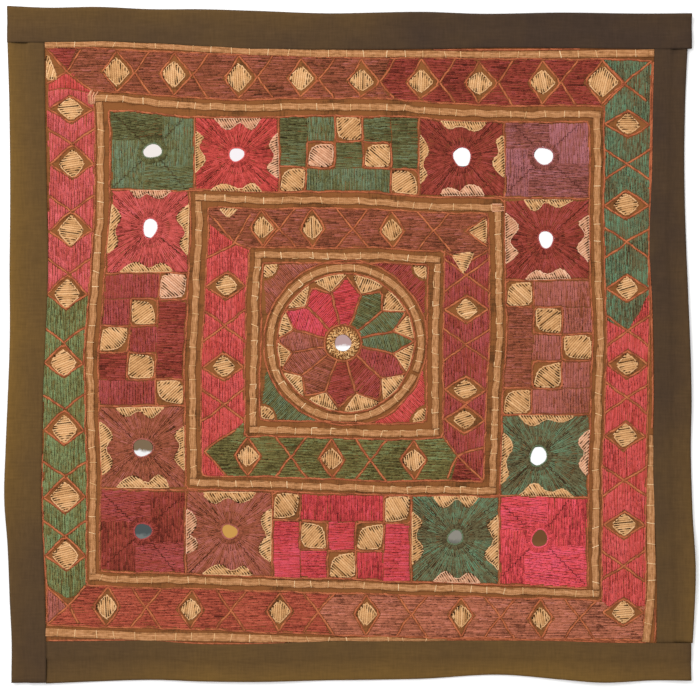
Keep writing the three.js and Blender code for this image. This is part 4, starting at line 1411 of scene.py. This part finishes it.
def threads_along(line, widths, pinches, depth):
    """Soft threads side by side along a line, drawn together where a stitch goes over them."""
    length, point, aside = along_line(line)
    distance = np.linspace(0, length, max(4, round(length / BRAID_STEP)))
    middle, sideways = point(distance), aside(distance)
    nearest = np.abs(distance[:, None] - pinches[None]).min(axis=1)
    pinch = np.exp(-((nearest / PINCH_REACH) ** 2))
    angles = 2 * math.pi * np.arange(THREAD_SIDES)[::-1] / THREAD_SIDES
    half = np.interp(distance, *widths) / BRAID_THREADS / 2
    rings = len(distance)
    thread_faces = strand_faces(rings, THREAD_SIDES)
    points, faces, along, around, shade = [], [], [], [], []
    for thread in range(BRAID_THREADS):
        step = thread - (BRAID_THREADS - 1) / 2
        waver = np.sin(distance / THREAD_WAVER_WAVE + THREAD_WAVER_TURN * thread + line[0, 0])
        place = step * 2 * half + THREAD_WAVER * waver
        centre = middle + sideways * (place * (1 - depth * pinch))[:, None]
        low = BRAID_LOW + BRAID_CROWN * (1 - (step / BRAID_THREADS * 2) ** 2)
        radius_up = BRAID_HEIGHT / 2 * (1 - PINCH_SINK * pinch)
        ring_points = np.empty((rings, THREAD_SIDES, 3))
        for i, angle in enumerate(angles):
            ring_points[:, i, :2] = centre + sideways * THREAD_FULLNESS * math.cos(angle) * half[:, None]
            ring_points[:, i, 2] = low + radius_up * (1 + math.sin(angle))
        tips = np.column_stack((centre[[0, -1]], low + radius_up[[0, -1]]))
        faces.append(thread_faces + thread * (rings * THREAD_SIDES + 2))
        points.append(np.concatenate((ring_points.reshape(-1, 3), tips)))
        along.append(np.append(np.repeat(distance, THREAD_SIDES), (0, length)))
        around.append(np.append(np.tile(angles / (2 * math.pi), rings), (0, 0)))
        tone = THREAD_TONE - (EDGE_THREAD_DULLER if thread in (0, BRAID_THREADS - 1) else 0)
        drift = np.sin(distance / TONE_DRIFT_WAVE + TONE_DRIFT_TURN * thread + line[0, 1])
        tones = tone + TONE_DRIFT * drift + rng.normal(0, TONE_SPREAD, rings)
        shade.append(np.append(np.repeat(tones, THREAD_SIDES), (TIP_TONE, TIP_TONE)))
    return tuple(np.concatenate(part) for part in (points, faces, along, around, shade))


def couching(line, widths, places, hooked_from, inner):
    """Bars across a braid, each with a leg along its inner edge where the stitches are hooked."""
    length, point, aside = along_line(line)
    for place in places:
        reach = np.interp(place, *widths) / 2 + TICK_PAST
        at, beside = point(np.array([place])), aside(np.array([place]))
        way = np.column_stack((beside[:, 1], -beside[:, 0]))
        skew = way * rng.normal(0, TICK_SKEW)
        shade = rng.uniform(*TICK_SHADES)
        start, end = at + beside * reach + skew, at - beside * reach - skew
        width = about(TICK_WIDTH, 0.2)
        tick_rows.append(stitch_rows(start, end, width, STITCH_ROOT, TICK_RISE, shade))
        if place / length < hooked_from or rng.random() > HOOK_SHARE:
            continue
        corner = at + inner * (beside * (reach - HOOK_INSET) + skew)
        leg = way * HOOK_LEG * rng.uniform(*HOOK_FULLNESS) - beside * rng.uniform(*HOOK_SPLAY)
        end = corner + inner * leg
        tick_rows.append(stitch_rows(corner, end, TICK_WIDTH, STITCH_ROOT, HOOK_RISE, shade))


BRAID_THREAD = floss("braid_thread", "664020", "a27046", "c08c62", 0.8)
tick_rows = []
braid_pieces = []


def lay_braid(name, line, width, pace, hooked_from, inner=1):
    """One length of braid with the stitches that hold it. Inner is 1 if its left side is inside, or -1."""
    length = along_line(line)[0]
    places = np.arange(pace * FIRST_TICK, length - pace * LAST_TICK, pace)
    places += rng.normal(0, TICK_SHIFT * pace, len(places))
    depth = BAR_PINCH if hooked_from == 1 else HOOK_PINCH
    runs = np.linalg.norm(np.diff(line, axis=0), axis=1)
    widths = np.append(0, np.cumsum(runs)), np.broadcast_to(width, len(line))
    points, faces, along, around, shade = threads_along(line, widths, places, depth)
    piece = new_mesh_piece("braid_" + name + "_laid", points * MM, faces, BRAID_THREAD)
    write_lay(piece, faces, along * MM, around, shade)
    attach(piece, "root")
    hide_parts("braid_" + name)
    braid_pieces.append(piece)
    couching(line, widths, places, hooked_from, inner)


for row in BRAID_LENGTHS:
    inner = -1 if row.side in ("top", "right") else 1
    name = row.frame + "_" + row.side
    lay_braid(name, frame_line(row.frame, row.side), FRAME_BRAID, row.pace, row.hooked_from, inner)
for side, places in EDGE_BRAIDS.items():
    along, out, wide = np.array(places).T
    shares = np.linspace(0, 1, EDGE_POINTS)
    run = along[0] + (along[-1] - along[0]) * shares
    order = np.argsort(along)
    away, width = (np.interp(run, along[order], column[order]) for column in (out, wide))
    line = np.column_stack((run, away) if side in LEVEL_SIDES else (away, run))
    lay_braid("edge_" + side, line, width, EDGE_PACE, 1)
ring_turns = np.linspace(RING_START, RING_START - 360 + RING_MOUTH, RING_POINTS)
ring_braid = np.array([turned(RING_CENTRE, RING_RADIUS, turn) for turn in ring_turns])
lay_braid("ring", ring_braid, FRAME_BRAID, RING_PACE, RING_HOOKED_FROM)

# Loose threads at two cut ends: where each bundle lies, the way that it runs, its length and its spread.
FRAY_WIDTH = 1.05
FRAY_SPREAD = 0.4
FRAY_FULLNESS = (0.7, 1.2)
FRAYED_ENDS = rows_of(
    "x y degrees length wide threads",
    [
        (-155.2, 147.4, 92, 7, 3, 5),
        (-154.4, 150.4, 65, 4.6, 3.4, 4),
        (88.4, 82.4, 2, 7.6, 4.2, 6),
    ],
)
fray_rows = []
for end in FRAYED_ENDS:
    way = way_of(math.radians(end.degrees))
    places = np.linspace(-0.5, 0.5, end.threads)[:, None] * end.wide * left_of(way)
    middles = np.array((end.x, end.y)) + places
    reach = way * end.length / 2 * rng.uniform(*FRAY_FULLNESS, (end.threads, 1))
    tips = middles + reach + rng.normal(0, FRAY_SPREAD, (end.threads, 2))
    shades = rng.uniform(*TICK_SHADES, end.threads)
    fray_rows.append(stitch_rows(middles - reach, tips, FRAY_WIDTH, STITCH_ROOT, HOOK_RISE, shades))
tick_work = sew("couching_stitches", tick_rows, floss("couching_thread", "b08050", "dcb280", "f0d2a6", 0.6))
fray_work = sew("frayed_ends", fray_rows, floss("frayed_thread", "8a5438", "c08462", "dcaa86", 0.8))


# Mirrors
# Small hand-cut rounds of silvered glass, a little uneven. Each is held by a ring of buttonhole stitches
# that grip its rim, over a round of plain ones, in the patch's own colour. At the flower's middle the
# ring is worked wider, in rounds of slanted gold loops.
GLASS_SIDES = 32
GLASS_LOW = 1.56
GLASS_THICKNESS = 0.62
GLASS_BEVEL = 0.036
GLASS_GRIP = 0.9  # the stitches hold the glass by this much of its rim
GLASS_INSIDE = 0.97  # of its solid's radius, the most that a glass takes up
GLASS_WAVES = ((3, 0.025), (5, 0.018))  # how many waves go round its rim, and their shares of its radius
GLASS_DULLNESS = (0.04, 0.16)

# The opening that each ring of stitches leaves, and the painted reflection that colours the glass in its
# upper and lower parts.
MIRRORS = rows_of(
    "name wide tall upper lower",
    [
        ("top_left", 10.8, 8.6, "eee6e0", "eee6e0"),
        ("top_second", 8.6, 8.6, "f4eef0", "f4eef0"),
        ("top_fourth", 11.2, 11.2, "fcfcfc", "fcfcfc"),
        ("top_right", 11.6, 10.2, "fcfcfc", "fcfcfc"),
        ("right_second", 9.2, 9.8, "fcfcfc", "fcfcfc"),
        ("right_fourth", 9.8, 11.4, "fcfcfc", "fcfcfc"),
        ("bottom_right", 9, 10.8, "6e4a2e", "785232"),
        ("bottom_fourth", 8.4, 8.4, "8c887e", "6e6c64"),
        ("bottom_second", 9.4, 8.2, "c8964e", "c8964e"),
        ("bottom_left", 9.8, 9.8, "4c5454", "707674"),
        ("left_fourth", 11.4, 11, "7c6850", "f0f0f0"),
        ("left_second", 8.8, 11.4, "fcfcfc", "fcfcfc"),
        ("flower", 10.8, 10.6, "b89a98", "fcfcfc"),
    ],
)
LOWER_PART = 0.5
PART_BLEND = 0.16
RING_STITCHES = 46
RING_SLANT_REACH = 12
OPENING_WAVES = ((2, 0.07), (3, 0.05))

# Rounds of a patch's ring, as distances out from the opening, and of the flower's, from its middle.
RING_ROUNDS = rows_of(
    "inside outside slant width low rise fall dull bright",
    [
        (0.9, 3.8, 0, 1.3, 1.9, 0.7, 0.5, 0.15, 0.5),
        (0, 2.6, 0, 1.2, 2.1, 0.7, 0.6, 0.25, 0.65),
        (-0.1, 0.7, 0.07, 0.8, 2.25, 0.7, 0.1, 0.6, 1),
    ],
)
LOOP_STITCHES = 30
LOOP_SHADES = (0.1, 1)
LOOP_ROUNDS = rows_of(
    "inside outside slant width low rise",
    [
        (5.1, 7.1, 0.14, 0.95, 2.0, 0.8),
        (6.5, 8.5, -0.12, 1.05, 1.75, 0.9),
        (7.9, 9.9, 0.1, 1.15, 1.5, 0.95),
    ],
)
LOOP_SPECKS = 44
SPECK_FROM = (6, 8.6)
SPECK_LENGTH = 1.3
SPECK_TURN = 0.8
SPECK_WIDTH = 1.05
SPECK_LOW = 1.6
SPECK_RISE = 1.25
patch_dye = {patch.name: patch.dye for patch in PATCHES}
ring_rows = {dye.name: [] for dye in DYES}
loop_rows = []
speck_rows = []


def silvered_glass(name, upper, lower):
    """Silvered glass, duller in specks, whose colour is a painted reflection that changes along a cloudy
    line in its lower part.
    """
    material, tree, shader = new_material(name, roughness=0.06)
    shader.inputs["Metallic"].default_value = 1.0
    place = place_on(tree)
    height = add_node(tree, "Attribute", attribute_name="height").outputs["Fac"]
    clouds = noise(tree, place, scale=260, detail=5, roughness=0.6)
    uneven = reckon(tree, "MULTIPLY_ADD", clouds, 0.5, height)
    # Painted reflection: one colour in the glass's upper part and another in its lower part, parted along a
    # cloudy line.
    colour = two_tone(tree, uneven, (LOWER_PART, LOWER_PART + PART_BLEND), (lower, upper))
    tree.links.new(colour, shader.inputs["Base Color"])
    specks = noise(tree, place, scale=900, detail=2)
    dull = rescale(tree, specks, 0.4, 0.75, *GLASS_DULLNESS)
    tree.links.new(dull, shader.inputs["Roughness"])
    return material


def glass_round():
    """One cut round at the middle of the cloth, one millimetre in radius, to be copied."""
    bpy.ops.object.select_all(action="DESELECT")
    bpy.ops.mesh.primitive_cylinder_add(vertices=GLASS_SIDES, radius=MM, depth=GLASS_THICKNESS * MM)
    piece = bpy.context.object
    bpy.ops.object.mode_set(mode="EDIT")
    bpy.ops.mesh.select_all(action="SELECT")
    bpy.ops.mesh.bevel(offset=GLASS_BEVEL * MM, segments=2, affect="EDGES")
    bpy.ops.object.mode_set(mode="OBJECT")
    bpy.ops.object.shade_smooth_by_angle(angle=math.radians(30))
    return piece


def uneven_round(turns, centre, waves):
    """Radii of a round that is a little out of true, in its own way at each place on the cloth."""
    (first, much), (second, less) = waves
    return 1 + much * np.sin(first * turns + centre[0]) + less * np.sin(second * turns + centre[1])


def turns_round(count, slip):
    """Angles of the stitches of a round, from wherever it was started."""
    turns = (np.arange(count) + rng.uniform(0, 1)) * 2 * math.pi / count
    return turns + rng.normal(0, slip, count)


def spokes(turns):
    return np.column_stack((np.cos(turns), np.sin(turns)))


def ring_of_stitches(row, centre):
    """Rounds of stitches that grip the rim of a mirror, round an uneven opening."""
    for ring in RING_ROUNDS:
        turns = turns_round(RING_STITCHES, slip=0.02)
        uneven = uneven_round(turns, centre, OPENING_WAVES)
        opening = spokes(turns) * np.array((row.wide, row.tall)) / 2 * uneven[:, None]
        inner = centre + opening + spokes(turns - ring.slant) * ring.inside
        outer = centre + opening + spokes(turns) * about(ring.outside, 0.1, (RING_STITCHES, 1))
        outer += left_of(spokes(turns).T).T * ring.slant * RING_SLANT_REACH
        shade = rng.uniform(ring.dull, ring.bright, RING_STITCHES)
        rows = stitch_rows(inner, outer, ring.width, ring.low, ring.rise, shade, ring.fall)
        ring_rows[patch_dye[row.name]].append(rows)


def ring_of_loops(centre):
    """Rounds of slanted gold loops, with dark specks of painted shade where they part."""
    for ring in LOOP_ROUNDS:
        turns = turns_round(LOOP_STITCHES, slip=0.03)
        inner = centre + spokes(turns - ring.slant) * ring.inside
        outer = centre + spokes(turns + ring.slant) * ring.outside
        shade = rng.uniform(*LOOP_SHADES, LOOP_STITCHES)
        loop_rows.append(stitch_rows(inner, outer, ring.width, ring.low, ring.rise, shade))
    turns = rng.uniform(0, 2 * math.pi, LOOP_SPECKS)
    inner = centre + spokes(turns) * rng.uniform(*SPECK_FROM, (LOOP_SPECKS, 1))
    outer = inner + spokes(turns + rng.uniform(-SPECK_TURN, SPECK_TURN, LOOP_SPECKS)) * SPECK_LENGTH
    shade = rng.uniform(0, 1, LOOP_SPECKS)
    speck_rows.append(stitch_rows(inner, outer, SPECK_WIDTH, SPECK_LOW, SPECK_RISE, shade))


pattern = glass_round()
mirror_pieces = []
for row in MIRRORS:
    node = "mirror_" + row.name
    centre = middle_of(node)
    low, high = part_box(node)
    radius = (high - low)[0] / 2 / MM
    piece = pattern.copy()
    piece.data = pattern.data.copy()
    piece.name = node + "_glass"
    bpy.context.collection.objects.link(piece)
    points = points_of(piece)
    angle = np.arctan2(points[:, 1], points[:, 0])
    cut = uneven_round(angle, centre, GLASS_WAVES)
    half = np.minimum(np.array((row.wide, row.tall)) / 2 + GLASS_GRIP, radius * GLASS_INSIDE)
    points[:, :2] = points[:, :2] * half * cut[:, None] + centre * MM
    points[:, 2] += (GLASS_LOW + GLASS_THICKNESS / 2) * MM
    place_points(piece, points)
    # Height across the glass, for where its painted reflection changes.
    level = piece.data.attributes.new("height", "FLOAT", "POINT")
    level.data.foreach_set("value", 0.5 + (points[:, 1] / MM - centre[1]) / (2 * radius))
    piece.data.materials.clear()
    piece.data.materials.append(silvered_glass(node + "_silver", row.upper, row.lower))
    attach(piece, "root")
    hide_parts(node)
    mirror_pieces.append(piece)
    if row.name == "flower":
        ring_of_loops(centre)
    else:
        ring_of_stitches(row, centre)
bpy.data.objects.remove(pattern)
ring_pieces = []
for dye in DYES:
    if ring_rows[dye.name]:
        material = bpy.data.materials[dye.name + "_floss"]
        ring_pieces.append(sew("mirror_rings_" + dye.name, ring_rows[dye.name], material))
gold_floss = floss("gold_floss", "7e5230", "c08c54", "e0b47c", 0.55)
ring_pieces.append(sew("mirror_rings_gold", loop_rows, gold_floss))
ring_pieces.append(sew("mirror_ring_specks", speck_rows, gap_shade, SLIVER_RINGS, SLIVER_SECTION))


# Folded border
# Four strips of olive-brown cotton, each folded double over the panel's raw margin and sewn through. The
# fold lies at the cloth's outer edge, with painted light that makes the cloth lighter towards it, and the
# seam puckers the cloth a little.
STRIP_CLOTH = 0.6
STRIP_STEP = 2.6
SECTION_STEPS = 32
STEP_FROM = 11.5  # distance from the seam where the upper layer starts to climb on to the margin
STEP_TO = 9.1
LAYER_LOW = 0.3
LAYER_FLAT = 1.2
LAYER_HIGH = 2.1
FOLD_RADIUS = (LAYER_FLAT - LAYER_LOW) / 2
SEAM_PUCKER = 0.2
SEAM_PUCKER_REACH = 7
GATHER_WAVE = 1.7
GATHER_DRIFT_WAVE = 60
EDGE_RIPPLE = 0.25
EDGE_RIPPLE_WAVE = 34
END_LAP = 0.2  # each end meets its neighbour
END_TURN = 1.2
END_DROP = 0.28
# Painted light: the border's cloth goes from its dark colour to a lighter one towards the fold, as light
# glows at the cloth's edge.
EDGE_LIGHT_AT_SEAM = 0.55
STRIP_DARK = "392b21"
STRIP_LIT_EDGE = "6e5122"
STRIP_WEAVE_PITCH = WEAVE_PITCH * 0.9
STRIP_WEAVE_DEPTH = 0.06 * MM
STRIP_GRAIN = (0.84, 1.16)  # how much darker and lighter the weave makes the cloth
# how unevenly, in patches, the painted light lies on the cloth
EDGE_LIGHT_UNEVEN = 0.3

# Each strip along its length: the place, where its fold and its seam lie there, how far the fold lifts off
# the table, and how much painted light lightens the cloth there.
STRIP_TABLES = {
    "top": [
        (204.9, 198.6, 177.9, 2.2, 0.1), (180, 198.6, 177.6, 0.6, 0.05), (126, 199.2, 178.2, 0.5, 0),
        (78, 198.6, 178.2, 0, 0.05), (48, 199.5, 177.6, 0.9, 0.12), (-18, 198.9, 177.3, 0, 0.34),
        (-60, 200.4, 177.6, 0.4, 0.38), (-90, 201.3, 179.1, 0, 0.4), (-120, 201.3, 180.9, 0.2, 0.4),
        (-150, 202.5, 182.1, 1.2, 0.42), (-183, 202.2, 181.5, 0.6, 0.46), (-205.5, 203.1, 181.6, 1.6, 0.5),
    ],
    "left": [
        (181.4, -205.2, -183.3, 0.8, 0.68), (147, -204.3, -183, 0, 0.72), (87, -203.7, -181.8, 0, 0.82),
        (45, -204, -181.1, 0.5, 0.82), (3, -204, -182.7, 0, 0.85), (-33, -205.2, -184.2, 0.4, 0.82),
        (-63, -206.3, -184.8, 1.4, 0.74), (-93, -207, -185.3, 2, 0.64), (-120, -205.2, -184.2, 0.8, 0.42),
        (-153, -204, -183, 0, 0.3), (-178, -202.8, -182.4, 0.4, 0.25), (-202.5, -202.8, -182.4, 1.3, 0.25),
    ],
    "bottom": [
        (-182.2, -202.8, -177.9, 0.5, 0.4), (-150, -201.6, -177.6, 0, 0.5), (-120, -200.7, -177.3, 0, 0.6),
        (-90, -201.6, -179.4, 0.6, 0.7), (-60, -201.9, -179.4, 1, 0.7), (-12, -201, -177.6, 0, 0.75),
        (42, -200.1, -177.3, 0, 0.75), (93, -197.7, -177.3, 0, 0.8), (126, -200.4, -177.6, 0.6, 0.8),
        (150, -202.2, -178.5, 1.6, 0.75), (183.6, -201, -178.8, 0.4, 0.6), (204.5, -201, -178.8, 1.8, 0.5),
    ],
    "right": [
        (-178.6, 205.4, 183.9, 0.6, 0.6), (-159, 206.4, 184.2, 1.2, 0.6), (-138, 207, 183.9, 2.2, 0.55),
        (-99, 205.2, 182.7, 0.8, 0.45), (-63, 204.3, 181.8, 0.3, 0.35), (-33, 204.6, 182.4, 1.2, 0.25),
        (27, 202.8, 181.4, 0.8, 0.2), (57, 201.6, 179.7, 0.3, 0.15), (111, 200.4, 181.4, 0, 0.15),
        (147, 201, 181.8, 0, 0.1), (177.6, 202.2, 182.7, 0.7, 0.1),
    ],
}


def column_curve(rows, column):
    """A column of a strip's table as a smooth function of the place along the strip."""
    ordered = sorted(rows, key=lambda row: row.along)
    places = np.array([row.along for row in ordered])
    values = np.array([getattr(row, column) for row in ordered])
    slopes = np.gradient(values, places)

    def curve(along):
        along = np.clip(along, places[0], places[-1])
        i = np.clip(np.searchsorted(places, along) - 1, 0, len(places) - 2)
        span = places[i + 1] - places[i]
        slope = (values[i + 1] - values[i]) / span
        t = (along - places[i]) / span
        bend = (1 - t) * (slopes[i] - slope) - t * (slopes[i + 1] - slope)
        return values[i] + span * t * (slope + (1 - t) * bend)

    return curve


def strip_path(share, width):
    """The folded section: from the seam below, out to the fold and back to the seam above."""
    flat = width - FOLD_RADIUS
    total = 2 * flat + math.pi * FOLD_RADIUS
    place = share * total
    turn = np.clip((place - flat) / FOLD_RADIUS, 0, math.pi)
    out_and_back = (width - place, place - total + width)
    out = np.select((place < flat, place > total - flat), out_and_back, FOLD_RADIUS * (1 - np.sin(turn)))
    upper = place > total / 2
    climb = np.clip((STEP_FROM - (width - out)) / (STEP_FROM - STEP_TO), 0, 1)
    climb = climb * climb * (3 - 2 * climb)
    height = LAYER_LOW + FOLD_RADIUS * (1 - np.cos(turn)) + climb * upper * (LAYER_HIGH - LAYER_FLAT)
    return out, height, upper


def border_cotton():
    material, tree, shader = new_material("border_cotton_cloth", roughness=0.95)
    weave = use_group(tree, PLAIN_WEAVE, Pitch=STRIP_WEAVE_PITCH)
    # Painted light on the cloth, stronger towards its fold and a little patchy.
    fade = add_node(tree, "Attribute", attribute_name="fade").outputs["Fac"]
    patchy = noise(tree, place_on(tree), scale=40, detail=5)
    shift = reckon(tree, "MULTIPLY_ADD", patchy, EDGE_LIGHT_UNEVEN, -EDGE_LIGHT_UNEVEN / 2)
    lit_edge = reckon(tree, "ADD", fade, shift, clamp=True)
    colour = blend(tree, lit_edge, colour_of(STRIP_DARK), colour_of(STRIP_LIT_EDGE))
    grain = rescale(tree, weave.outputs["Slub"], 0.3, 0.7, *STRIP_GRAIN)
    shaded = add_node(tree, "VectorMath", {0: colour, "Scale": grain}, operation="SCALE")
    tree.links.new(shaded.outputs[0], shader.inputs["Base Color"])
    shader.inputs["Specular IOR Level"].default_value = 0.15
    bumped(tree, shader, weave.outputs["Height"], STRIP_WEAVE_DEPTH)
    return material


BORDER_COTTON = border_cotton()
for side, table in STRIP_TABLES.items():
    rows = rows_of("along outer seam lift fade", table)
    outer, seam, lift, fade = (column_curve(rows, column) for column in ("outer", "seam", "lift", "fade"))
    onward = math.copysign(END_LAP, rows[-1].along - rows[0].along)
    first, last = rows[0].along - onward, rows[-1].along + onward
    lengths = math.ceil(abs(last - first) / STRIP_STEP)
    piece = new_grid("strip_" + side + "_cloth", lengths, SECTION_STEPS)
    flat = points_of(piece)[:, :2] + 0.5
    along = first + (last - first) * flat[:, 0]
    edge, joint = outer(along), seam(along)
    width = np.abs(joint - edge)
    out, height, upper = strip_path(flat[:, 1], width)
    slack = np.maximum(0, 1 - out / (width - STEP_FROM)) ** 2
    height = height + np.maximum(0, lift(along)) * slack
    drawn_tight = np.exp(-(width - out) / SEAM_PUCKER_REACH) * upper
    gathers = 1 + np.sin(along / GATHER_WAVE + 2 * wander(along, along * 0, GATHER_DRIFT_WAVE))
    height -= SEAM_PUCKER * drawn_tight * gathers / 2
    height += EDGE_RIPPLE * slack * (1 + wander(along, 3 * width, EDGE_RIPPLE_WAVE)) / 2
    from_end = np.minimum(np.abs(along - first), np.abs(along - last))
    height -= END_DROP * upper * np.clip(1 - from_end / END_TURN, 0, 1) ** 2
    place = edge + (joint - edge) * out / width
    spots = (along, place) if side in LEVEL_SIDES else (place, along)
    points = np.column_stack((*spots, height)) * MM
    place_points(piece, points)
    # Painted light: the cloth is lighter towards its fold, more on some lengths of strip than on others.
    lit_edge = piece.data.attributes.new("fade", "FLOAT", "POINT")
    towards_fold = np.clip(1 - out / width, 0, 1) ** 2
    lit_edge.data.foreach_set("value", fade(along) * mix(EDGE_LIGHT_AT_SEAM, 1, towards_fold))
    bpy.ops.object.mode_set(mode="EDIT")
    bpy.ops.mesh.select_all(action="SELECT")
    bpy.ops.mesh.normals_make_consistent(inside=False)
    bpy.ops.object.mode_set(mode="OBJECT")
    finish_with(piece, "SOLIDIFY", thickness=STRIP_CLOTH * MM, offset=0)
    piece.data.materials.append(BORDER_COTTON)
    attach(piece, "root")
    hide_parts("strip_" + side)
needlework = [*stem_pieces, *satin_pieces, *gold_pieces, *braid_pieces, tick_work, fray_work]
needlework += [*mirror_pieces, *ring_pieces]


# Studio
# A plain pale floor, soft white light from all round with a broad lamp above, and a camera straight above
# the cloth, as far off as a long lens needs.
FLOOR_SIZE = 4
FLOOR_DROP = 0.3 * MM
FLOOR_TONES = (0.9, 0.94)
LENS = 120
SENSOR = 36
PICTURE_WIDTH = 0.42
PICTURE_MIDDLE = (0, -0.003)
SKY_STRENGTH = 1.05
LAMP_SIZE = 0.9
LAMP_POWER = 15.5
LAMP_PLACE = (-0.75, 0.85, 1.1)
LAMP_TURN = (-42, -30, 0)

bpy.ops.object.select_all(action="DESELECT")
bpy.ops.mesh.primitive_plane_add(size=FLOOR_SIZE, location=(0, 0, -FLOOR_DROP))
floor = bpy.context.object
floor.name = "floor"
floor_paint, floor_tree, floor_shader = new_material("floor_paint", roughness=0.9)
floor_spots = noise(floor_tree, place_on(floor_tree), scale=30, detail=3)
floor_tone = rescale(floor_tree, floor_spots, 0, 1, *FLOOR_TONES)
floor_tree.links.new(floor_tone, floor_shader.inputs["Base Color"])
floor.data.materials.append(floor_paint)

world = bpy.data.worlds.new("studio")
world.use_nodes = True
world.node_tree.nodes["Background"].inputs["Color"].default_value = (1, 1, 1, 1)
world.node_tree.nodes["Background"].inputs["Strength"].default_value = SKY_STRENGTH
bpy.context.scene.world = world

lamp_data = bpy.data.lights.new("broad_lamp", "AREA")
lamp_data.size = LAMP_SIZE
lamp_data.energy = LAMP_POWER
lamp = bpy.data.objects.new("broad_lamp", lamp_data)
lamp.location = LAMP_PLACE
lamp.rotation_euler = [math.radians(turn) for turn in LAMP_TURN]
bpy.context.collection.objects.link(lamp)

camera_data = bpy.data.cameras.new("camera")
camera_data.lens = LENS
camera_data.sensor_width = SENSOR
camera = bpy.data.objects.new("camera", camera_data)
camera.location = (*PICTURE_MIDDLE, PICTURE_WIDTH * LENS / SENSOR + GROUND_TOP)
bpy.context.collection.objects.link(camera)
bpy.context.scene.camera = camera
bpy.context.scene.view_settings.view_transform = "Standard"
